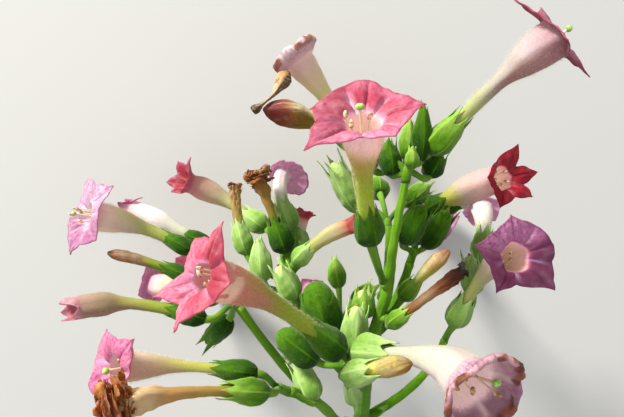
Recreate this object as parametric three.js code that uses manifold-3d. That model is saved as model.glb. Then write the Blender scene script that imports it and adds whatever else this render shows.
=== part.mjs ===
// A cut flowering head of tobacco, lying on its back blooms and on its slanting cut.
// Millimetres. +Y runs up the head, +X across it, +Z up from the surface it lies on.
import * as THREE from 'three';
import Module from 'manifold-3d';
import { mergeVertices } from 'three/addons/utils/BufferGeometryUtils.js';

const wasm = await Module();
wasm.setup();

// Driving sizes.
const gap = 0.3; // clearance between a piece and what carries it
const headCentre = [-4.7, -59.9]; // middle of the head's box, seen from above
const stemFoot = 3.5; // stem radius at the cut
const stemTop = 1.9; // stem radius at its tip
const branchFoot = 2.0;
const branchTip = 1.5;
const rachisFoot = 1.5;
const pedicelFoot = 1.0;
const pedicelTop = 1.5;
const calyxLength = 14;
const calyxRadius = 4.9;
const tubeRadius = 2.3; // corolla tube inside the calyx
const dryTubeRadius = 1.9; // shrunken tube of a dried corolla
const throatRadius = 5.4; // corolla just under the limb
const limbRadius = 17; // centre to lobe tip
const notchShare = 0.66; // notch between lobes, as a share of the lobe tip's radius
const petal = 0.8; // thickness of the limb
const lobes = 5;
const counterBend = 0.6; // how far a corolla leaves its calyx away from the way its mouth looks
const crumple = 0.22; // depth of the folds on a dried corolla, as a share of its radius

// The main stem, from below the cut to the tip.
const stemRoute = [
  [20, -192, -8], [20, -150, 21], [20.5, -110, 49], [21, -85, 66.5], [21, -65, 80.5],
  [22.5, -44, 95], [26, -28, 102.5], [27.5, -12, 106], [31, 9, 109],
];

// Branches leave the stem and end where a flower cluster begins.
// lean is the way each one sets off and rise the way it ends.
const branches = {
  branch_left: {
    from: [20.4, -102, 54.6], to: [-27, -36, 92], lean: [-0.5, 0.6, 0.5], rise: [-0.5, 0.8, 0.2],
  },
  branch_left_upper: {
    from: [21, -78, 71.4], to: [-6, -36, 84], lean: [-0.5, 0.8, 0.1], rise: [-0.3, 0.9, 0.1],
  },
  branch_lower_left: {
    from: [20.5, -112, 47.6], to: [-8, -61, 108], lean: [-0.3, 0.4, 0.8], rise: [-0.6, 0.3, 0.5],
  },
  branch_front: {
    from: [21, -70, 77], to: [12.5, -54, 106], lean: [-0.4, 0.3, 0.9], rise: [-0.1, 0.5, 0.8],
  },
  branch_right: {
    from: [22.3, -46, 93.5], to: [37.5, -21, 84], lean: [0.7, 0.6, -0.4], rise: [0.3, 0.9, 0],
  },
  branch_right_low: {
    from: [20.8, -90, 63], to: [53, -58, 70], lean: [0.8, 0.5, 0.2], rise: [0.4, 0.9, 0.1],
  },
  branch_back: {
    from: [20.9, -88, 64.4], to: [14, -54, 56], lean: [-0.3, 0.7, -0.4], rise: [-0.2, 0.9, -0.4],
  },
  branch_back_top: {
    from: [25, -31, 101], to: [30, -8, 80], lean: [0.2, 0.4, -0.8], rise: [0, 0.7, -0.7],
  },
};

// Flower clusters. A short rachis stands on a limb; aim is its way and reach its length.
// Each calyx stands on its own pedicel, which leaves the rachis at its share "at".
// kind: cup holds a corolla of its own, pod a seed capsule, bud a closed green bud.
const clusters = {
  cluster_top: {
    foot: [31, 9, 109], aim: [0.15, 0.9, 0.1], reach: 5,
    organs: [
      { kind: 'cup', flower: 'bloom_upper_right', at: 0.6 },
      { kind: 'cup', flower: 'bloom_wilting_top', at: 0.8 },
      { kind: 'cup', flower: 'bud_red_tip', at: 0.5 },
      { kind: 'bud', base: [37, 16, 104], tip: [37.6, 36, 107], radius: 3.4, at: 0.9 },
      { kind: 'bud', base: [33, 17, 100], tip: [34.5, 32, 99], radius: 3.2, at: 1 },
      { kind: 'pod', base: [27, 11, 106], tip: [25.5, 23, 106], radius: 3.6, at: 0.4 },
      { kind: 'bud', base: [32.5, 13, 111], tip: [32.8, 20.5, 111], radius: 2.4, at: 0.7 },
      { kind: 'pod', base: [40.5, 11, 101], tip: [45, 20, 99], radius: 3.8, at: 0.5 },
    ],
  },
  cluster_center: {
    foot: [26, -28, 102.5], aim: [-0.5, 0.8, 0.6], reach: 4,
    organs: [
      { kind: 'cup', flower: 'bloom_center', at: 1 },
      { kind: 'pod', base: [17, -1, 102], tip: [6.6, 16, 106], radius: 4.4, at: 0.6 },
    ],
  },
  cluster_left: {
    foot: [-27, -36, 92], aim: [-0.6, 0.7, 0], reach: 8,
    organs: [
      { kind: 'cup', flower: 'bloom_left', at: 1 },
      { kind: 'cup', flower: 'bloom_left_opening', at: 0.8 },
      { kind: 'cup', flower: 'bud_brown_tip', at: 0.7 },
      { kind: 'cup', flower: 'bloom_left_closing', at: 0.1 },
      { kind: 'cup', flower: 'bloom_left_back', at: 0.3 },
      { kind: 'pod', base: [-33, -44, 76], tip: [-44, -56, 68], radius: 4.4, at: 0.1 },
    ],
  },
  cluster_left_upper: {
    foot: [-6, -36, 84], aim: [-0.3, 0.9, 0.1], reach: 10,
    organs: [
      { kind: 'cup', flower: 'bloom_left_top', at: 0.7 },
      { kind: 'cup', flower: 'dry_bloom_top', at: 0.9 },
      { kind: 'cup', flower: 'dry_bloom_side', at: 0.5 },
      { kind: 'cup', flower: 'bloom_drooping', at: 1 },
      { kind: 'cup', flower: 'bud_small_red', at: 0.8 },
      { kind: 'cup', flower: 'bud_cream_curved', at: 0.9 },
      { kind: 'bud', base: [-18, -27, 91], tip: [-20, -10.5, 90], radius: 4.3, at: 0.3 },
      { kind: 'pod', base: [-6, -32, 98], tip: [-12, -20, 99], radius: 4.2, at: 0.2 },
    ],
  },
  cluster_lower_left: {
    foot: [-8, -61, 108], aim: [-0.6, 0.4, 0.4], reach: 5,
    organs: [
      { kind: 'cup', flower: 'bloom_lower_left', at: 0.9 },
      { kind: 'cup', flower: 'dry_bloom_left', at: 0.6 },
      { kind: 'pod', base: [1, -66, 104], tip: [-5, -54.5, 98], radius: 4.4, at: 0.1 },
    ],
  },
  cluster_front: {
    foot: [12.5, -54, 106], aim: [-0.1, 0.5, 0.8], reach: 6,
    organs: [
      { kind: 'cup', flower: 'bloom_front', at: 1 },
      { kind: 'cup', flower: 'bloom_lower_right', radius: 6, at: 1 },
      { kind: 'cup', flower: 'bud_yellow_brown', at: 0.9 },
      { kind: 'pod', base: [6, -47, 100], tip: [0.4, -25, 102], radius: 6.4, at: 0.4 },
      { kind: 'pod', base: [13.5, -47, 108], tip: [15, -32, 109], radius: 4.6, at: 0.6 },
      { kind: 'pod', base: [2, -52, 106], tip: [-12, -42, 104], radius: 4.8, at: 0.3 },
      { kind: 'bud', base: [14, -63, 112], tip: [11, -54.5, 119], radius: 2.8, at: 0.2 },
      { kind: 'pod', base: [18, -39, 98], tip: [18.4, -28.5, 98], radius: 4.2, at: 0.5 },
    ],
  },
  cluster_right_mid: {
    foot: [23.6, -39, 97.6], aim: [0.5, 0.2, 0.6], reach: 4,
    organs: [
      { kind: 'cup', flower: 'dry_bloom_right', at: 1 },
      { kind: 'cup', flower: 'bud_cream_right', at: 0.8 },
    ],
  },
  cluster_right: {
    foot: [37.5, -21, 84], aim: [0.3, 0.9, 0], reach: 6,
    organs: [
      { kind: 'cup', flower: 'bloom_right', at: 1 },
      { kind: 'cup', flower: 'bud_white_right', at: 0.9 },
      { kind: 'cup', flower: 'bloom_back_right', at: 0.4 },
      { kind: 'pod', base: [33.5, -13, 90], tip: [40, 1.5, 96], radius: 4.8, at: 0.6 },
      { kind: 'pod', base: [43, -15, 84], tip: [51, -0.5, 89], radius: 4.6, at: 0.5 },
    ],
  },
  cluster_right_low: {
    foot: [53, -58, 70], aim: [0.3, 0.9, 0.2], reach: 5,
    organs: [
      { kind: 'cup', flower: 'bloom_purple', at: 0.7 },
      { kind: 'cup', flower: 'bloom_white_tube', at: 0.9 },
      { kind: 'pod', base: [63, -34, 80], tip: [61.5, -18, 80], radius: 4.2, at: 1 },
    ],
  },
  cluster_back: {
    foot: [14, -54, 56], aim: [-0.2, 0.9, -0.4], reach: 6,
    organs: [
      { kind: 'cup', flower: 'bloom_back_left', at: 0.6 },
      { kind: 'cup', flower: 'bloom_back_mid', at: 1 },
      { kind: 'pod', base: [20, -44, 44], tip: [30, -38, 33], radius: 4.6, at: 0.5 },
      { kind: 'bud', base: [12, -36, 52], tip: [10, -22, 47], radius: 4.2, at: 1 },
      { kind: 'pod', base: [0, -60, 56], tip: [-12, -68, 50], radius: 4.4, at: 0.2 },
    ],
  },
  cluster_back_top: {
    foot: [30, -8, 80], aim: [0, 0.6, -0.7], reach: 5,
    organs: [
      { kind: 'cup', flower: 'bloom_back_top', at: 0.8 },
      { kind: 'pod', base: [39, 2, 68], tip: [50, 10, 60], radius: 4.4, at: 0.6 },
      { kind: 'bud', base: [20, 4, 66], tip: [9, 14, 58], radius: 3.8, at: 0.9 },
    ],
  },
};

// Corollas. base is the foot of the calyx, throat the middle of the mouth and face the way it looks.
// A limb is the radius from the throat's middle to a lobe's tip.
// A swell is the greatest radius of a closed form.
// Open blooms with a spread limb.
const openFlowers = {
  bloom_center: {
    base: [19, -11.5, 113], throat: [13.9, 22.6, 139], face: [-0.02, 0.73, 0.68], limb: 18.5, colour: 'pink',
  },
  bloom_front: {
    base: [9.5, -45, 121], throat: [-28, -17.8, 145], face: [-0.62, 0.2, 0.74], limb: 15.5, colour: 'pink',
  },
  bloom_upper_right: {
    base: [40.2, 19, 103], throat: [75, 52.5, 120], face: [0.8, 0.53, 0.25], limb: 14.5, colour: 'rose',
  },
  bloom_left: {
    base: [-46, -17, 81], throat: [-84.2, -3, 85], face: [-0.75, 0.05, 0.66], limb: 14.5, colour: 'rose',
  },
  bloom_left_back: {
    base: [-42, -40, 54], throat: [-76, -37.5, 32], face: [-0.8, 0, -0.5], limb: 11, colour: 'pink',
  },
  bloom_left_top: {
    base: [-20, -9, 58], throat: [-54.5, 11, 50], face: [-0.85, 0.4, 0.1], limb: 11, colour: 'pink',
  },
  bloom_drooping: {
    base: [-8.5, -9, 70], throat: [-12.5, 14, 65], face: [0.2, 0.9, -0.3], limb: 9, colour: 'mauve',
  },
  bloom_lower_left: {
    base: [-17, -51.5, 117], throat: [-58, -47, 126], face: [-0.62, 0.12, 0.77], limb: 12.5, colour: 'pink',
  },
  bloom_right: {
    base: [39.5, -3, 82], throat: [71, 11.4, 88], face: [0.5, 0.15, 0.85], limb: 13.5, colour: 'crimson',
  },
  bloom_white_tube: {
    base: [71, -22, 66], throat: [74, 2, 60], face: [0.1, 0.9, -0.3], limb: 9, colour: 'mauve',
  },
  bloom_purple: {
    base: [56, -47, 76], throat: [70, -17, 102], face: [0.22, 0.1, 0.97], limb: 14.5, colour: 'purple',
  },
  bloom_back_left: {
    base: [-4, -44, 48], throat: [-60, -34, 13], face: [-0.75, 0.1, -0.65], limb: 15, colour: 'pink',
  },
  bloom_back_mid: {
    base: [8, -44, 42], throat: [0, -46, 6.2], face: [-0.2, 0.2, -0.95], limb: 12, colour: 'rose',
  },
  bloom_back_right: {
    base: [44, -12, 62], throat: [66, -6, 8.7], face: [0.5, 0.1, -0.86], limb: 13, colour: 'pink',
  },
  bloom_back_top: {
    base: [29, 6, 64], throat: [27, 42, 11.9], face: [0, 0.75, -0.66], limb: 15, colour: 'rose',
  },
};
// Blooms whose limb is drawn in round the mouth.
const foldingFlowers = {
  bloom_wilting_top: {
    base: [22, 14, 96], throat: [-4, 50, 104], face: [-0.62, 0.75, 0.1], limb: 8.5, colour: 'mauve',
  },
  bloom_left_opening: {
    base: [-42, -15, 70], throat: [-76, -1.5, 67], face: [-0.9, 0.4, 0.1], limb: 6.5, colour: 'rose',
  },
  bloom_lower_right: {
    base: [13, -45, 119], throat: [40.5, -43.5, 146], face: [0.62, -0.5, 0.6], limb: 13, colour: 'mauve',
  },
};
// Closed corollas, each a spindle.
const closedFlowers = {
  bud_red_tip: {
    base: [19, 21, 105], throat: [-16.3, 32.7, 110], face: [-1, 0.1, 0.1], swell: 4.6, colour: 'crimson',
  },
  bud_brown_tip: {
    base: [-43, -27, 88], throat: [-75.7, -17, 90], face: [-1, 0.15, 0], swell: 2.9, colour: 'tan',
  },
  bloom_left_closing: {
    base: [-36.2, -38, 104], throat: [-86.8, -31.5, 108], face: [-1, 0, 0.1], swell: 4.8, colour: 'rose',
  },
  bud_small_red: {
    base: [-4, -19, 70], throat: [-3.4, -2, 63], face: [0.3, 0.9, -0.2], swell: 3, colour: 'crimson',
  },
  bud_cream_curved: {
    base: [-6.6, -20.5, 92], throat: [16, -5.5, 95], face: [0.95, 0.3, 0.1], swell: 3.4, colour: 'cream',
  },
  bud_yellow_brown: {
    base: [10, -51, 126], throat: [27.5, -42.5, 141.5], face: [0.9, 0.25, 0.4], swell: 3.2, colour: 'tan',
  },
  bud_cream_right: {
    base: [31.5, -32, 99], throat: [47.3, -14.6, 103], face: [0.8, 0.6, 0], swell: 3.8, colour: 'cream',
  },
  bud_white_right: {
    base: [47, -2, 75], throat: [64, 3, 76], face: [1, 0.2, 0.1], swell: 2.6, colour: 'cream',
  },
};
// Dried corollas that end in a crumpled knot.
const dryFlowers = {
  dry_bloom_top: {
    base: [-9.8, -17.5, 80], throat: [-20.6, 12, 80], face: [-0.3, 0.9, 0], swell: 5, colour: 'brown',
  },
  dry_bloom_side: {
    base: [-25, -18, 82], throat: [-30.5, 8.5, 78], face: [0, 1, 0], swell: 2.8, colour: 'tan',
  },
  dry_bloom_left: {
    base: [-13, -56.5, 123], throat: [-51, -53.5, 145], face: [-0.75, -0.1, 0.6], swell: 5.2, colour: 'brown',
  },
  dry_bloom_right: {
    base: [26, -40, 105], throat: [48.3, -20.2, 114], face: [0.75, 0.6, 0.2], swell: 3.6, colour: 'brown',
  },
};
const flowers = {};
const formTables = { open: openFlowers, folding: foldingFlowers, closed: closedFlowers, dry: dryFlowers };
for (const [form, table] of Object.entries(formTables)) {
  for (const [name, flower] of Object.entries(table)) {
    flowers[name] = { ...flower, form };
  }
}

// A withered tube that has slipped off and hangs in the wilting bloom's mouth.
const strandRoute = [[-8.4, 45.6, 107.4], [-10.2, 41, 110.2], [-13.5, 36.2, 112], [-19.5, 30.2, 111.6]];
const strandRadii = [2.2, 2.6, 1.2, 1.3];

const colours = {
  stem: 0x3c7d14, calyx: 0x6f9f3a, pink: 0xe1647f, rose: 0xe98aa6, mauve: 0xc58bb0,
  crimson: 0x9c1c3c, purple: 0x8a3c66, cream: 0xe6e2b8, tan: 0xc29a62, brown: 0x8a4c1c,
};
const vector = (list) => new THREE.Vector3(...list);
const unit = (list) => vector(list).normalize();
const cross = (first, second) => new THREE.Vector3().crossVectors(first, second).normalize();

// The direction across an axis that lies nearest to +Y, or to +Z where the axis itself runs along Y.
function upAcross(along) {
  const up = Math.abs(along.y) < 0.9 ? vector([0, 1, 0]) : vector([0, 0, 1]);
  return up.addScaledVector(along, -up.dot(along)).normalize();
}

// One ring of points round a centre; reach gives the radius and push the shift along the axis.
function ring(centre, along, across, sides, reach, push = () => 0) {
  const over = cross(along, across);
  const level = cross(over, along);
  return Array.from({ length: sides }, (_, index) => {
    const angle = (2 * Math.PI * index) / sides;
    return centre.clone()
      .addScaledVector(level, reach(angle) * Math.cos(angle))
      .addScaledVector(over, reach(angle) * Math.sin(angle))
      .addScaledVector(along, push(angle));
  });
}

// A ring square to a curve at a share of its length, moved along it by shift.
function ringOn(curve, share, across, sides, reach, shift = 0) {
  const along = curve.getTangent(share);
  return ring(curve.getPoint(share).addScaledVector(along, shift), along, across, sides, reach);
}

// Triangles between two rings that have the same number of points, or one twice the other's.
function bridge(index, low, lowSides, high, highSides) {
  const shared = Math.min(lowSides, highSides);
  const lowStep = lowSides / shared;
  const highStep = highSides / shared;
  for (let side = 0; side < shared; side += 1) {
    const lowHere = low + side * lowStep;
    const lowNext = low + ((side + 1) * lowStep) % lowSides;
    const highHere = high + side * highStep;
    const highNext = high + ((side + 1) * highStep) % highSides;
    if (lowStep === 2) {
      const lowMiddle = lowHere + 1;
      index.push(lowHere, lowMiddle, highHere, lowMiddle, highNext, highHere, lowMiddle, lowNext, highNext);
    } else if (highStep === 2) {
      const highMiddle = highHere + 1;
      index.push(lowHere, highMiddle, highHere, lowHere, lowNext, highMiddle, lowNext, highNext, highMiddle);
    } else {
      index.push(lowHere, lowNext, highHere, lowNext, highNext, highHere);
    }
  }
}

function centreOf(points) {
  const sum = vector([0, 0, 0]);
  for (const point of points) {
    sum.add(point);
  }
  return sum.divideScalar(points.length);
}

function geometryFrom(coordinates, index) {
  const geometry = new THREE.BufferGeometry();
  geometry.setAttribute('position', new THREE.Float32BufferAttribute(coordinates, 3));
  geometry.setIndex(index);
  return geometry;
}

// A closed body through a list of rings, with a fan at each end.
function loft(rings) {
  const points = rings.flat();
  const index = [];
  let low = 0;
  for (let row = 0; row + 1 < rings.length; row += 1) {
    const high = low + rings[row].length;
    bridge(index, low, rings[row].length, high, rings[row + 1].length);
    low = high;
  }
  const first = points.length;
  const last = first + 1;
  const sides = rings[0].length;
  const endSides = rings.at(-1).length;
  points.push(centreOf(rings[0]), centreOf(rings.at(-1)));
  for (let side = 0; side < sides; side += 1) {
    index.push(first, (side + 1) % sides, side);
  }
  for (let side = 0; side < endSides; side += 1) {
    index.push(last, low + side, low + (side + 1) % endSides);
  }
  return geometryFrom(points.flatMap((point) => point.toArray()), index);
}

// A tube along a curve whose radius runs through the given list.
function tube(curve, radii, steps, sides, grow = 0) {
  const across = upAcross(curve.getTangent(0.5));
  const rings = [];
  for (let step = 0; step <= steps; step += 1) {
    const share = step / steps;
    const place = share * (radii.length - 1);
    const low = Math.min(Math.floor(place), radii.length - 2);
    const radius = THREE.MathUtils.lerp(radii[low], radii[low + 1], place - low) + grow;
    const shift = (step === 0 ? -grow : 0) + (step === steps ? grow : 0);
    rings.push(ringOn(curve, share, across, sides, () => radius, shift));
  }
  return loft(rings);
}

function solidOf(geometry) {
  const merged = mergeVertices(geometry, 1e-5);
  const mesh = new wasm.Mesh({
    numProp: 3,
    vertProperties: new Float32Array(merged.attributes.position.array),
    triVerts: new Uint32Array(merged.index.array),
  });
  return new wasm.Manifold(mesh);
}

// The largest body of a solid as a geometry; a cut can leave a loose scrap beside it.
function geometryOf(solid) {
  const bodies = solid.decompose().sort((one, other) => other.volume() - one.volume());
  const mesh = bodies[0].getMesh();
  return geometryFrom(mesh.vertProperties, Array.from(mesh.triVerts));
}

const head = new THREE.Group();
head.position.set(-headCentre[0], -headCentre[1], 0);

function addPiece(name, geometry, colour, roughness) {
  const material = new THREE.MeshStandardMaterial({ color: colours[colour], roughness, metalness: 0 });
  const mesh = new THREE.Mesh(geometry, material);
  mesh.name = name;
  head.add(mesh);
}

// A smooth curve that leaves one point and reaches another in given directions.
function bend(from, leave, to, arrive, slack = 0.35) {
  const reach = from.distanceTo(to) * slack;
  const second = from.clone().addScaledVector(leave, reach);
  const third = to.clone().addScaledVector(arrive, -reach);
  return new THREE.CubicBezierCurve3(from, second, third, to);
}

// A corolla's axis: it leaves the calyx a little away from the way its mouth looks, then bends to it.
function corollaAxis(flower) {
  const base = vector(flower.base);
  const throat = vector(flower.throat);
  const face = unit(flower.face);
  const straight = throat.clone().sub(base).normalize();
  const leave = straight.multiplyScalar(1 + counterBend).addScaledVector(face, -counterBend).normalize();
  const curve = bend(base, leave, throat, face);
  return { curve, leave, face, across: upAcross(face) };
}

// Share of the axis and radius at each ring of a corolla's tube.
function stations({ form, swell }) {
  if (form === 'closed') {
    const slim = Math.min(tubeRadius, swell * 0.7);
    return [
      [0.13, slim * 0.6], [0.3, slim], [0.52, slim * 1.1],
      [0.72, swell * 0.95], [0.88, swell * 0.85], [1, 0.5],
    ];
  }
  if (form === 'dry') {
    const slim = Math.min(dryTubeRadius, swell * 0.6);
    return [
      [0.13, slim * 0.6], [0.3, slim], [0.6, slim * 1.1],
      [0.76, swell * 0.75], [0.88, swell], [1, swell * 0.55],
    ];
  }
  const shape = [[0.13, 0.6], [0.3, 1], [0.55, 1.15], [0.72, 1.8], [0.88, 2.35], [1, 2.25]];
  return shape.map(([share, times]) => [share, tubeRadius * times]);
}

function tubeRings(flower, sides) {
  const { curve, across } = corollaAxis(flower);
  return stations(flower).map(([share, radius]) => {
    const fold = flower.form === 'dry' && share > 0.7 ? crumple : 0;
    const reach = (angle) => radius * (1 + fold * Math.sin(3 * angle + 5 * share));
    return ringOn(curve, share, across, sides, reach);
  });
}

// The limb: out to the lobes' edge on the back, round the rim, and down into the throat.
function limbRings(flower) {
  const { curve, face, across } = corollaAxis(flower);
  const folding = flower.form === 'folding';
  const tip = flower.limb;
  const notch = tip * (folding ? 0.85 : notchShare);
  const cup = folding ? 0.8 : 0.32;
  const reach = (angle) => notch + (tip - notch) * Math.abs(Math.cos((lobes / 2) * angle));
  const sides = (tip > 12 ? 4 : 2) * lobes;
  const rise = (angle) => cup * (reach(angle) - throatRadius);
  const rim = (lift) => ring(curve.getPoint(1), face, across, sides, reach, (angle) => rise(angle) + lift);
  const inner = (share, radius) => ringOn(curve, share, across, 2 * lobes, () => radius);
  return [rim(0), rim(petal), inner(1, throatRadius - petal), inner(0.72, 2.4)];
}

function corolla(flower) {
  const hollow = flower.form === 'open' || flower.form === 'folding';
  const rings = tubeRings(flower, hollow ? 2 * lobes : 8);
  return loft(hollow ? [...rings, ...limbRings(flower)] : rings);
}

// The lower half of a corolla's tube, larger all round by the clearance.
function corollaSleeve(flower) {
  const { curve, across } = corollaAxis(flower);
  const rings = stations(flower).slice(0, 4).map(([share, radius], row) => {
    const reach = (radius + gap) / Math.cos(Math.PI / 6);
    return ringOn(curve, share, across, 6, () => reach, row === 0 ? -gap : 0);
  });
  return solidOf(loft(rings));
}

// A calyx: a swollen green cup with five teeth. Its middle is open, or filled by a pod or a bud.
function calyx(base, along, length, radius, kind) {
  const across = upAcross(along);
  const at = (share, sides, times, teeth = 0) => {
    const centre = base.clone().addScaledVector(along, share * length);
    const push = (angle) => teeth * length * Math.cos(lobes * angle);
    return ring(centre, along, across, sides, () => radius * times, push);
  };
  const foot = [at(0, lobes, pedicelTop / radius), at(0.4, 2 * lobes, 1), at(0.95, 2 * lobes, 0.86, 0.15)];
  const middle = {
    cup: [at(0.75, lobes, 0.6)],
    pod: [at(0.8, lobes, 0.72), at(1.02, lobes, 0.45)],
    bud: [at(0.85, lobes, 0.66), at(1.25, lobes, 0.16)],
  };
  return loft([...foot, ...middle[kind]]);
}

const stemCurve = new THREE.CatmullRomCurve3(stemRoute.map(vector));
const stemRadii = [stemFoot, stemFoot * 0.92, stemFoot * 0.84, 2.6, stemTop];
const stemSolid = (grow) => solidOf(tube(stemCurve, stemRadii, 14, 10, grow));
const groundBlock = new THREE.BoxGeometry(60, 120, 40).translate(stemRoute[0][0], stemRoute[0][1], -20);
groundBlock.deleteAttribute('normal');
groundBlock.deleteAttribute('uv');
addPiece('main_stem', geometryOf(stemSolid(0).subtract(solidOf(groundBlock))), 'stem', 0.6);

// Branches, each cut clear of the stem.
const limbs = [stemSolid(gap)];
for (const [name, branch] of Object.entries(branches)) {
  const curve = bend(vector(branch.from), unit(branch.lean), vector(branch.to), unit(branch.rise));
  const limb = (grow) => solidOf(tube(curve, [branchFoot, branchTip], 6, 6, grow));
  addPiece(name, geometryOf(limb(0).subtract(limbs[0])), 'stem', 0.6);
  limbs.push(limb(gap));
}

// Clusters: rachis, pedicels, calyces and closed tips in one body, cut clear of limbs and corollas.
for (const [name, cluster] of Object.entries(clusters)) {
  const foot = vector(cluster.foot);
  const aim = unit(cluster.aim);
  const rachis = new THREE.LineCurve3(foot, foot.clone().addScaledVector(aim, cluster.reach));
  let solid = solidOf(tube(rachis, [rachisFoot, rachisFoot], 1, 5));
  for (const organ of cluster.organs) {
    const flower = flowers[organ.flower];
    const base = vector(flower ? flower.base : organ.base);
    const along = flower ? corollaAxis(flower).leave : vector(organ.tip).sub(base).normalize();
    const full = flower ? calyxLength : vector(organ.tip).distanceTo(base);
    const length = full * { cup: 1, pod: 0.9, bud: 0.78 }[organ.kind];
    const radius = organ.radius ?? calyxRadius * (flower.swell < 4 ? 0.8 : 1);
    const root = rachis.getPoint(organ.at);
    const leave = base.clone().sub(root).normalize().addScaledVector(aim, 0.6).normalize();
    const pedicel = bend(root, leave, base.clone().addScaledVector(along, 1), along, 0.4);
    solid = solid.add(solidOf(tube(pedicel, [pedicelFoot, pedicelFoot, pedicelTop], 3, 5)));
    solid = solid.add(solidOf(calyx(base, along, length, radius, organ.kind)));
  }
  for (const limb of limbs) {
    solid = solid.subtract(limb);
  }
  for (const organ of cluster.organs) {
    if (organ.flower) {
      solid = solid.subtract(corollaSleeve(flowers[organ.flower]));
    }
  }
  addPiece(name, geometryOf(solid), 'calyx', 0.65);
}

for (const [name, flower] of Object.entries(flowers)) {
  addPiece(name, corolla(flower), flower.colour, 0.55);
}

const strand = solidOf(tube(new THREE.CatmullRomCurve3(strandRoute.map(vector)), strandRadii, 6, 6));
const strandHosts = [flowers.bloom_wilting_top, flowers.bud_red_tip];
const strandClear = strandHosts.reduce((solid, host) => solid.subtract(corollaSleeve(host)), strand);
addPiece('dry_strand', geometryOf(strandClear), 'tan', 0.8);

const part = new THREE.Group();
part.name = 'tobacco_flower_head';
part.add(head);
export default part;
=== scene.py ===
import bpy
import numpy as np
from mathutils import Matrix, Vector


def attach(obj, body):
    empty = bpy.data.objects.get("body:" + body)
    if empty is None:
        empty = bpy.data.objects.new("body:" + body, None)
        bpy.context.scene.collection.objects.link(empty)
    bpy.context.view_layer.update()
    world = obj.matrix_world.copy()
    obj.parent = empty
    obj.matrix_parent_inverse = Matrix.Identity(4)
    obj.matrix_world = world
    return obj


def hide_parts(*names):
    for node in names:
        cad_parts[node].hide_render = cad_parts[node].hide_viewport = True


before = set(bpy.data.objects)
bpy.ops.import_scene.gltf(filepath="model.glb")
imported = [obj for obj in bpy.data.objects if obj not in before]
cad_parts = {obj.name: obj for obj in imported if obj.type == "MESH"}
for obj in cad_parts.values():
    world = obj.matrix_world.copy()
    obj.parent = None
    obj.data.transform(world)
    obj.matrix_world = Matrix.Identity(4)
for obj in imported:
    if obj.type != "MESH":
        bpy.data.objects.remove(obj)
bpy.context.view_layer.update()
mm = 0.001
headShift = np.array([4.7, 59.9, 0.0])  # mm, from the head's own place to the frame's
fullTurn = 2 * np.pi
print("frame loaded,", len(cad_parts), "nodes")


# A shader socket that can be used in sums.
class Value:
    def __init__(self, graph, socket):
        self.graph = graph
        self.socket = socket

    def combine(self, operation, first, second):
        return self.graph.node("ShaderNodeMath", {"operation": operation}, {0: first, 1: second})

    def __add__(self, other):
        return self.combine("ADD", self, other)

    def __radd__(self, other):
        return self.combine("ADD", other, self)

    def __sub__(self, other):
        return self.combine("SUBTRACT", self, other)

    def __rsub__(self, other):
        return self.combine("SUBTRACT", other, self)

    def __mul__(self, other):
        return self.combine("MULTIPLY", self, other)

    def __rmul__(self, other):
        return self.combine("MULTIPLY", other, self)

    def between(self, low, high):
        settings = {"interpolation_type": "SMOOTHSTEP"}
        return self.graph.node("ShaderNodeMapRange", settings, {0: self, 1: low, 2: high})


# One material with its nodes.
class Graph:
    def __init__(self, name):
        self.material = bpy.data.materials.new(name)
        self.material.use_nodes = True
        self.tree = self.material.node_tree
        self.tree.nodes.clear()

    def node(self, kind, settings=None, values=None, out=0):
        made = self.tree.nodes.new(kind)
        for key, value in (settings or {}).items():
            if key == "stops":
                elements = made.color_ramp.elements
                while len(elements) < len(value):
                    elements.new(0.5)
                for element, (place, colour) in zip(elements, value):
                    element.position = place
                    element.color = colour
            else:
                setattr(made, key, value)
        for key, value in (values or {}).items():
            if isinstance(value, Value):
                self.tree.links.new(value.socket, made.inputs[key])
            else:
                made.inputs[key].default_value = value
        return Value(self, made.outputs[out])

    def mix(self, share, first, second, blend="MIX"):
        settings = {"data_type": "RGBA", "blend_type": blend}
        return self.node("ShaderNodeMix", settings, {0: share, 6: first, 7: second}, out=2)

    def rows(self, label):
        return self.node("ShaderNodeAttribute", {"attribute_name": label}, out=1)

    def split(self, vector, parts):
        return [self.node("ShaderNodeSeparateXYZ", {}, {0: vector}, out=part) for part in parts]

    def ramp(self, share, stops):
        return self.node("ShaderNodeValToRGB", {"stops": stops}, {0: share})

    def noise(self, place, scale, detail=2.0):
        values = {"Vector": place, "Scale": scale, "Detail": detail, "Roughness": 0.6}
        return self.node("ShaderNodeTexNoise", {}, values)

    def finish(self, surface):
        output = self.tree.nodes.new("ShaderNodeOutputMaterial")
        self.tree.links.new(surface.socket, output.inputs["Surface"])
        return self.material


def paint(red, green, blue):
    shares = [channel / 255 for channel in (red, green, blue)]
    return tuple(c / 12.92 if c <= 0.04045 else ((c + 0.055) / 1.055) ** 2.4 for c in shares) + (1.0,)


def blendPaint(first, second, share):
    return tuple(one + (other - one) * share for one, other in zip(first, second))


# Small shape helpers. All sizes are mm in the head's own place until a piece is made.
def unit(vector):
    vector = np.asarray(vector, float)
    return vector / np.linalg.norm(vector)


def upAcross(along):
    up = np.array([0.0, 1.0, 0.0]) if abs(along[1]) < 0.9 else np.array([0.0, 0.0, 1.0])
    return unit(up - along * np.dot(up, along))


def bend(start, leave, end, arrive, slack=0.35):
    start, end = np.asarray(start, float), np.asarray(end, float)
    reach = np.linalg.norm(end - start) * slack
    return np.array([start, start + unit(leave) * reach, end - unit(arrive) * reach, end])


def onBend(points, shares):
    t = np.asarray(shares, float)[:, None]
    weights = [(1 - t) ** 3, 3 * t * (1 - t) ** 2, 3 * t * t * (1 - t), t ** 3]
    place = sum(weight * point for weight, point in zip(weights, points))
    steps = np.diff(points, axis=0)
    slopes = [3 * (1 - t) ** 2, 6 * t * (1 - t), 3 * t * t]
    way = sum(slope * step for slope, step in zip(slopes, steps))
    return place, way / np.linalg.norm(way, axis=1)[:, None]


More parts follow.
